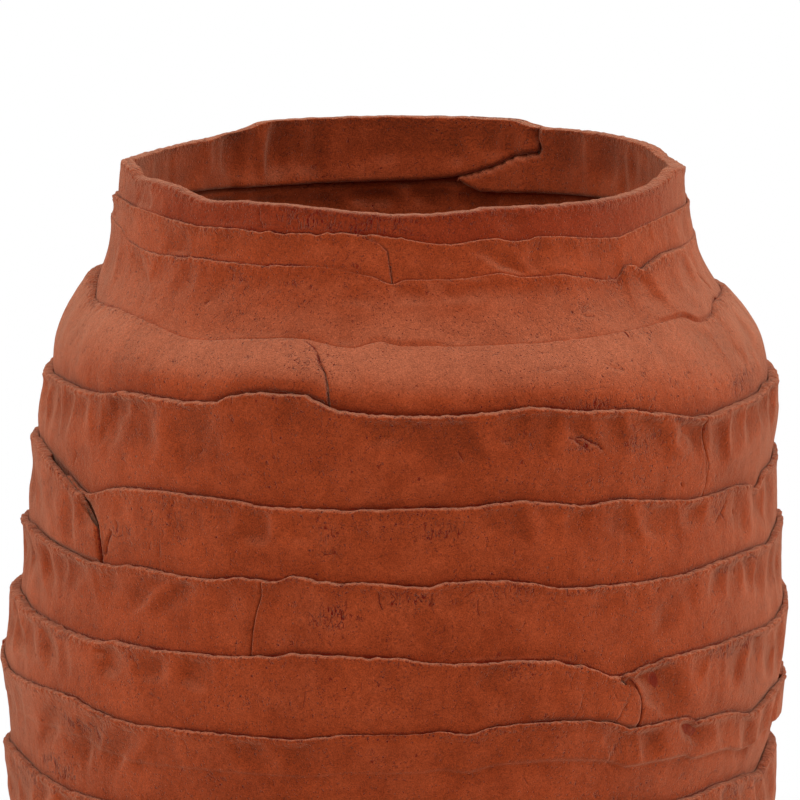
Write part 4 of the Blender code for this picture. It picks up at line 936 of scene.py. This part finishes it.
# One strap: a flat grid of clay, bent round, welded along its inner foot edge and closed at its two ends.
def makeStrap(number, label, first, last, material):
    course = courses[number]
    radius = seamRadius(number, 0, seams[number]["height"])
    reach = math.degrees(pot["endLap"] / radius)
    start = first["azimuth"] - (reach if first["side"] > 0 else 0)
    stop = last["azimuth"] + (0 if last["side"] > 0 else reach)
    columns = strapColumns(start, stop, radius)
    rows = strapRows(number)
    points, masks, place = bendStrap(number, label, first, last, columns, rows)

    bm = bmesh.new()
    bmesh.ops.create_grid(bm, x_segments=len(columns) - 1, y_segments=len(rows) - 1, size=1)
    mesh = bpy.data.meshes.new(course["name"] + "_" + label + "_clay")
    bm.to_mesh(mesh)
    bm.free()
    grid = readCorners(mesh)
    i = np.rint((grid[:, 0] + 1) / 2 * (len(columns) - 1)).astype(int)
    j = np.rint((grid[:, 1] + 1) / 2 * (len(rows) - 1)).astype(int)
    setCorners(mesh, points[i, j])
    corner = np.arange(len(mesh.vertices), dtype=np.int32)       # which corner a kept one was before the weld
    mesh.attributes.new("corner", "INT", "POINT").data.foreach_set("value", corner)

    bm = bmesh.new()
    bm.from_mesh(mesh)
    bm.verts.ensure_lookup_table()
    lowest = [bm.verts[k] for k in np.flatnonzero((j == 0) | (j == len(rows) - 1))]
    bmesh.ops.remove_doubles(bm, verts=lowest, dist=1e-6)
    bmesh.ops.holes_fill(bm, edges=bm.edges, sides=0)
    bmesh.ops.recalc_face_normals(bm, faces=bm.faces)
    bm.to_mesh(mesh)
    bm.free()
    kept = np.zeros(len(mesh.vertices), np.int32)
    mesh.attributes["corner"].data.foreach_get("value", kept)
    mesh.attributes.remove(mesh.attributes["corner"])
    i, j = i[kept], j[kept]
    writeAttributes(mesh, {key: value[i, j] for key, value in masks.items()}, place[i, j])
    return finishClay(mesh, course["name"] + "_strap_" + label, material)


# One socket of a material, with the sums that the clay's masks are written in.
class Wire:
    def __init__(self, tree, socket):
        self.tree = tree
        self.socket = socket

    def maths(self, operation, *values):
        return addNode(self.tree, "ShaderNodeMath", {"operation": operation}, dict(enumerate(values)))

    def __add__(self, other):
        return self.maths("ADD", self, other)

    def __radd__(self, other):
        return self.maths("ADD", other, self)

    def __sub__(self, other):
        return self.maths("SUBTRACT", self, other)

    def __rsub__(self, other):
        return self.maths("SUBTRACT", other, self)

    def __mul__(self, other):
        return self.maths("MULTIPLY", self, other)

    def __rmul__(self, other):
        return self.maths("MULTIPLY", other, self)

    def __abs__(self):
        return self.maths("ABSOLUTE", self)

    def larger(self, other):
        return self.maths("MAXIMUM", self, other)

    def ramp(self, low, high, start=0.0, stop=1.0):
        sockets = {0: self, 1: low, 2: high, 3: start, 4: stop}
        return addNode(self.tree, "ShaderNodeMapRange", {"interpolation_type": "SMOOTHSTEP"}, sockets)


# Adds a node of any type: its settings first, then the values or links of its sockets.
def addNode(tree, kind, settings=None, sockets=None, output=0):
    node = tree.nodes.new(kind)
    for key, value in (settings or {}).items():
        setattr(node, key, value)
    for key, value in (sockets or {}).items():
        if isinstance(value, Wire):
            tree.links.new(value.socket, node.inputs[key])
        else:
            node.inputs[key].default_value = value
    return Wire(tree, node.outputs[output])


def mixColour(tree, factor, low, high):
    return addNode(tree, "ShaderNodeMix", {"data_type": "RGBA"}, {0: factor, 6: low, 7: high}, 2)


# A new material with its node tree and its surface shader, of which constant inputs are set here.
def newMaterial(name, constants):
    material = bpy.data.materials.new(name)
    material.use_nodes = True
    shader = material.node_tree.nodes["Principled BSDF"]
    for key, value in constants.items():
        shader.inputs[key].default_value = value
    return material, material.node_tree, shader


clayFinish = {
    "deep": (0.252, 0.0345, 0.0075, 1),     # the body's two tones
    "warm": (0.350, 0.0520, 0.0122, 1),
    "dustAndPaintedLight": (0.47, 0.160, 0.085, 1),        # pale dust on lips and high places, with painted light on high places and faces that look up
    "paintedShade": (0.165, 0.0095, 0.0010, 1),   # painted shade on the clay just above a lip, and the colour that the darker rim front runs towards
    # dark colour of cracks, pits and tears, and of the painted shade lines in seams and at joints
    "crackAndShadeLine": (0.150, 0.0032, 0.0005, 1),
    "cracksAndJointShade": 0.9,                    # how dark each kind of mark is, from 0 to 1
    "seamLines": 0.95,
    "thinCracks": 0.6,
    "pits": 0.95,
    "tears": 1.0,
    "specks": 0.62,
    "constants": {"Sheen Weight": 0.51, "Sheen Roughness": 0.42, "Sheen Tint": (1.0, 0.62, 0.41, 1),
                  "Specular IOR Level": 0.06},
}

# Noise of the clay: scale to the metre, detail and roughness. Cells: scale to the metre.
clayNoise = {
    "mottle": (34.0, 3.0, 0.6),
    "patch": (48.0, 2.0, 0.6),              # where small marks gather
    "blotch": (120.0, 3.0, 0.6),
    "grit": (620.0, 2.0, 0.6),
    "grain": (2100.0, 2.0, 0.8),
    "wobble": (1150.0, 2.0, 0.6),           # how placed cracks and seam lines waver
    "broken": (380.0, 1.5, 0.6),            # and where they break off or come and go
    "comes": (130.0, 2.5, 0.6),
    "wave": (330.0, 2.5, 0.75),             # thin cracks, and where they are kept
    "waveKept": (210.0, 1.5, 0.6),
    "torn": (520.0, 2.0, 0.65),             # short upright tears, and where they are kept
    "tornKept": (300.0, 1.0, 0.6),
}
clayCells = {"pits": 560.0, "specks": 1150.0}


# Matte fired clay: mottled body, dust and painted light paling high places and faces that look up,
# painted shade in hollows, above lips and in seams, crumbly lips, pits and thin upright cracks.
def makeClay(name, brightness=1.0):
    material, tree, shader = newMaterial(name, clayFinish["constants"])
    spot = addNode(tree, "ShaderNodeTexCoord", output="Object")
    place = addNode(tree, "ShaderNodeAttribute", {"attribute_name": "place"}, output="Vector")
    masks = ("relief", "lip", "dried", "darkLineSide", "darkLineKept", "seamAway", "seamLine", "shade", "upward")
    relief, lip, dried, darkLineSide, darkLineKept, seamAway, seamLine, shade, upward = (
        addNode(tree, "ShaderNodeAttribute", {"attribute_name": key}, output="Fac") for key in masks)

    def cloud(key, vector=place):
        sockets = dict(zip(("Scale", "Detail", "Roughness"), clayNoise[key]), Vector=vector)
        return addNode(tree, "ShaderNodeTexNoise", None, sockets, "Fac")

    # The place squeezed in height, which draws noise out upright
    def upright(squeeze):
        sockets = {0: place, 1: (1.0, squeeze, 1.0)}
        return addNode(tree, "ShaderNodeVectorMath", {"operation": "MULTIPLY"}, sockets)

    # Distance to the middle of small cells, and a chance number for each cell
    def cells(key):
        sockets = {"Vector": spot, "Scale": clayCells[key], "Randomness": 1.0}
        colour = addNode(tree, "ShaderNodeTexVoronoi", None, sockets, "Color")
        return (addNode(tree, "ShaderNodeTexVoronoi", None, sockets, "Distance"),
                addNode(tree, "ShaderNodeSeparateColor", None, {0: colour}, 1))

    mottle, blotch, grit, grain, patch = (
        cloud(key, spot) for key in ("mottle", "blotch", "grit", "grain", "patch"))
    wobble = cloud("wobble") - 0.5

    # Placed cracks, the painted shadow line at each joint's tip, and the painted shade line
    # in each seam's crevice, which comes and goes
    broken, comes = cloud("broken").ramp(0.34, 0.52, 0.25), cloud("comes").ramp(0.36, 0.60, 0.20)
    cracksAndJointShade = abs(darkLineSide + wobble * 2.4).ramp(1.2, 0.35) * darkLineKept * broken
    seamShade = (seamAway + wobble * 0.9).ramp(0.48, 0.08) * seamLine * comes

    # Thin cracks run where tall noise crosses its middle, and are kept only in places
    line = abs(cloud("wave", upright(0.40)) - 0.5).ramp(0.030, 0.010)
    kept = cloud("waveKept") + dried * 0.12 + lip * 0.13 + patch * 0.12
    thinCracks = line * kept.ramp(0.715, 0.775)

    # Short upright tears where the clay dried most
    torn = abs(cloud("torn", upright(0.24)) - 0.5).ramp(0.044, 0.014)
    tears = torn * (dried + (patch - 0.5) * 0.8).ramp(0.58, 0.90) * cloud("tornKept").ramp(0.40, 0.54)

    # Pits and specks: small cells, of which few hold one
    away, chance = cells("pits")
    likely = (chance + dried * 0.10 + lip * 0.16 + patch * 0.12).ramp(1.01, 1.05)
    pits = (away + (grain - 0.5) * 0.5).ramp(0.30, 0.16) * likely
    away, chance = cells("specks")
    likely = (chance + lip * 0.22 + dried * 0.10 + (patch - 0.5) * 0.7).ramp(0.80, 0.90)
    specks = away.ramp(0.42, 0.24) * likely

    tone = (mottle * 0.5 + blotch * 0.5).ramp(0.30, 0.70)
    body = mixColour(tree, tone, clayFinish["deep"], clayFinish["warm"])
    # Paler on ridges and high places: a painted highlight from the relief, with random dust
    high = (relief * 0.30 + blotch * 0.6 + grit * 0.4).ramp(0.30, 1.0)
    # Painted top light: faces that look up are made paler
    lit = upward.ramp(0.12, 0.78) * (0.27 + mottle * 0.36)
    # Pale dust on crumbly lips and dried patches, together with the painted light above
    pale = high * 0.10 + lip * (grit * 0.42 - 0.32) + dried * grit * 0.08 + lit
    body = mixColour(tree, pale, body, clayFinish["dustAndPaintedLight"])
    # Painted shade above lips, and the rim's darker front, mixed towards the shade colour
    body = mixColour(tree, (1.0 - shade) * 2.1, body, clayFinish["paintedShade"])
    # Random grain tone, with painted shade in dents and hollows and a painted highlight on ridges
    level = (grain - 0.5) * 2.3 + (grit - 0.5) * 0.45 + relief.ramp(-2.0, 0.8, 0.84, 1.08)
    body = addNode(tree, "ShaderNodeVectorMath", {"operation": "SCALE"}, {0: body, 3: level * brightness})
    fine = (thinCracks * clayFinish["thinCracks"] + pits * clayFinish["pits"] + tears * clayFinish["tears"]
            + specks * clayFinish["specks"])
    # Real cracks, pits and tears, with the painted shade lines of seams and joints
    dark = fine.larger(cracksAndJointShade * clayFinish["cracksAndJointShade"]).larger(seamShade * clayFinish["seamLines"])
    body = mixColour(tree, dark.ramp(0.0, 1.0), body, clayFinish["crackAndShadeLine"])
    tree.links.new(body.socket, shader.inputs["Base Color"])

    rough = 0.80 + grit * 0.14 + dark * 0.05
    tree.links.new(rough.socket, shader.inputs["Roughness"])
    height = grain * 0.26 + grit * 0.26 + blotch * 0.26 + lip * grit - dark * 0.38
    bump = addNode(tree, "ShaderNodeBump", None, {"Strength": 1.0, "Distance": 0.001, "Height": height})
    tree.links.new(bump.socket, shader.inputs["Normal"])
    return material


floorSlab = {
    "thickness": 7.0,
    "grain": 1.5,
    "rings": 14,            # mesh rings across the disc, up to this share of its radius
    "ringsUpTo": 0.96,
    # The turned-up edge from underneath up over its lip and down inside: mm past the base radius, height
    "edge": [(-3, 0), (1.2, 0), (2.9, 0.6), (3.7, 1.8), (3.8, 4), (3.8, 7), (3.9, 10), (3.6, 11.6),
             (2.6, 12.7), (1.4, 13.1), (0.5, 12.8), (0.15, 12), (-0.4, 9.5), (-1.2, 7.6), (-2.4, 7)],
    "brightness": 0.85,
}


# Floor slab: its section is spun round, then worn uneven, and its edge follows the lowest seam.
def makeFloorSlab(material):
    reach, seam = pot["base"], pot["floorSeam"]
    rings = [reach * n / floorSlab["rings"] * floorSlab["ringsUpTo"] for n in range(floorSlab["rings"])]
    profile = [(r, 0.0) for r in rings] + [(reach + out, z) for out, z in floorSlab["edge"]]
    profile += [(r, floorSlab["thickness"]) for r in reversed(rings)]
    bm = bmesh.new()
    verts = [bm.verts.new((r, 0, z)) for r, z in profile]
    edges = [bm.edges.new((a, b)) for a, b in zip(verts, verts[1:])]
    steps = round(2 * math.pi * reach / floorSlab["grain"])
    bmesh.ops.spin(bm, geom=verts + edges, axis=(0, 0, 1), cent=(0, 0, 0), angle=2 * math.pi, steps=steps,
                   use_merge=True)
    bmesh.ops.remove_doubles(bm, verts=bm.verts, dist=1e-4)
    bmesh.ops.recalc_face_normals(bm, faces=bm.faces)
    mesh = bpy.data.meshes.new("floor_slab_clay")
    bm.to_mesh(mesh)
    bm.free()

    spot = x, y, z = readCorners(mesh).astype(float).T
    radius = np.hypot(x, y)
    azimuth = np.degrees(np.arctan2(x, -y))
    rim = smooth((radius - reach + 12) / 12)
    drift = seamRadius(seam, azimuth, z) - reach
    lift = (lipAt(seam, azimuth) - seams[seam]["height"]) * smooth((z - 6) / 6) * rim
    bumps = 0.25 * uneven(spot, 8, 8, 61) + 0.5 * uneven(spot, 25, 25, 62)
    grown = radius + drift * rim + 0.4 * bumps * rim * (radius > reach + 2)
    z = z + lift + bumps * smooth((z - 5) / 2) * (radius < reach - 4)
    scale = np.where(radius > 0.01, grown / np.maximum(radius, 0.01), 1)
    points = np.stack([x * scale, y * scale, np.maximum(z, 0)], -1)
    setCorners(mesh, points)
    flat = 0 * z
    away = flat + pot["farAway"]
    masks = {"relief": bumps, "lip": bell(z - 13, 2), "dried": flat + 0.3, "darkLineSide": away,
             "darkLineKept": flat, "seamAway": away, "seamLine": flat, "shade": flat + 1}
    writeAttributes(mesh, masks, points / 1000)
    return finishClay(mesh, "floor_slab", material)


clay = makeClay("terracotta")
print("clay mixed")
for number, course in enumerate(courses):
    first, second = [{**usualJoint, "edge": wornEdge(number, joint["azimuth"]), **joint}
                     for joint in course["joints"]]
    again = {**first, "azimuth": first["azimuth"] + 360, "edge": [(z, a + 360) for z, a in first["edge"]]}
    for label, (start, stop) in zip(course["straps"], ((first, second), (second, again))):
        made = makeStrap(number, label, start, stop, clay)
        print("strap", made.name, "faces", len(made.data.polygons))
makeFloorSlab(makeClay("terracotta_floor", floorSlab["brightness"]))
print("floor slab made")

# Lights at the two sides, left and right being their power, and one above in front. Lengths are in metres.
studio = {
    "sideBox": {"size": (1.5, 1.8), "azimuth": 84, "distance": 1.25, "height": 0.85, "aim": (0, 0, 0.24),
                "left": 10.6, "right": 12.2},
    "topBox": {"size": (1.0, 0.8), "place": (0.04, -0.60, 1.55), "aim": (0, 0, 0.2), "power": 5.2},
    "ambient": 0.51,
    "white": (1, 1, 1, 1),
    "floor": {"Base Color": (0.80, 0.79, 0.78, 1), "Roughness": 0.9},
    "floorReach": 8,
    "floorFade": (0.25, 0.75, 0.25),        # fades to white between these distances, from this share
    "floorBelow": 0.0002,
}


# Puts a light or a camera at its place, looking towards its aim.
def addAimed(name, data, place, aim):
    made = addObject(name, data)
    made.location = place
    made.rotation_euler = (Vector(aim) - Vector(place)).to_track_quat("-Z", "Y").to_euler()
    return made


def addSoftbox(name, box, place, power):
    light = bpy.data.lights.new(name, "AREA")
    light.shape = "RECTANGLE"
    light.size, light.size_y = box["size"]
    light.energy = power
    addAimed(name, light, place, box["aim"])


# 1 for what the camera sees, straight or by way of a shiny or clear face, and 0 for what only lights the vase.
def isSeen(tree):
    return sum(addNode(tree, "ShaderNodeLightPath", output=ray)
               for ray in ("Is Camera Ray", "Is Transmission Ray", "Is Glossy Ray"))


box = studio["sideBox"]
for name, sign in (("left", -1), ("right", 1)):
    turn = math.radians(box["azimuth"]) * sign
    place = (box["distance"] * math.sin(turn), -box["distance"] * math.cos(turn), box["height"])
    addSoftbox(name + "Softbox", box, place, box[name])
addSoftbox("topSoftbox", studio["topBox"], studio["topBox"]["place"], studio["topBox"]["power"])

world = bpy.data.worlds.new("studio")
bpy.context.scene.world = world
world.use_nodes = True
background = world.node_tree.nodes["Background"]
background.inputs["Color"].default_value = studio["white"]
strength = isSeen(world.node_tree).ramp(0, 1, studio["ambient"], 1.0)
world.node_tree.links.new(strength.socket, background.inputs["Strength"])


# Pale floor that takes the vase's shadow and runs out to plain white away from it.
def makeFloor():
    bm = bmesh.new()
    bmesh.ops.create_grid(bm, x_segments=2, y_segments=2, size=studio["floorReach"])
    mesh = bpy.data.meshes.new("floor")
    bm.to_mesh(mesh)
    bm.free()
    material, tree, shader = newMaterial("paleFloor", studio["floor"])
    spot = addNode(tree, "ShaderNodeTexCoord", output="Object")
    away = addNode(tree, "ShaderNodeVectorMath", {"operation": "LENGTH"}, {0: spot}, "Value")
    fade = away.ramp(*studio["floorFade"]) * isSeen(tree)
    glow = addNode(tree, "ShaderNodeEmission", None, {"Color": studio["white"], "Strength": 1.0})
    mix = addNode(tree, "ShaderNodeMixShader", None, {0: fade, 1: Wire(tree, shader.outputs[0]), 2: glow})
    tree.links.new(mix.socket, tree.nodes["Material Output"].inputs["Surface"])
    mesh.materials.append(material)
    floor = addObject("floor", mesh)
    floor.location.z = -studio["floorBelow"]


makeFloor()

# The photograph's camera: its aim, degrees above level, distance and the frame's width at the aim in metres.
view = {"aim": (-0.00077, 0.0, 0.294), "elevation": 9.5, "distance": 5.0, "frame": 0.30616, "clipEnd": 50}
rise = math.radians(view["elevation"])
lens = bpy.data.cameras.new("camera")
lens.sensor_width = 36
lens.lens = lens.sensor_width * view["distance"] / view["frame"]
lens.clip_end = view["clipEnd"]
place = Vector(view["aim"]) + view["distance"] * Vector((0, -math.cos(rise), math.sin(rise)))
bpy.context.scene.camera = addAimed("camera", lens, place, view["aim"])
bpy.context.scene.view_settings.view_transform = "Standard"

print("camera and light set")
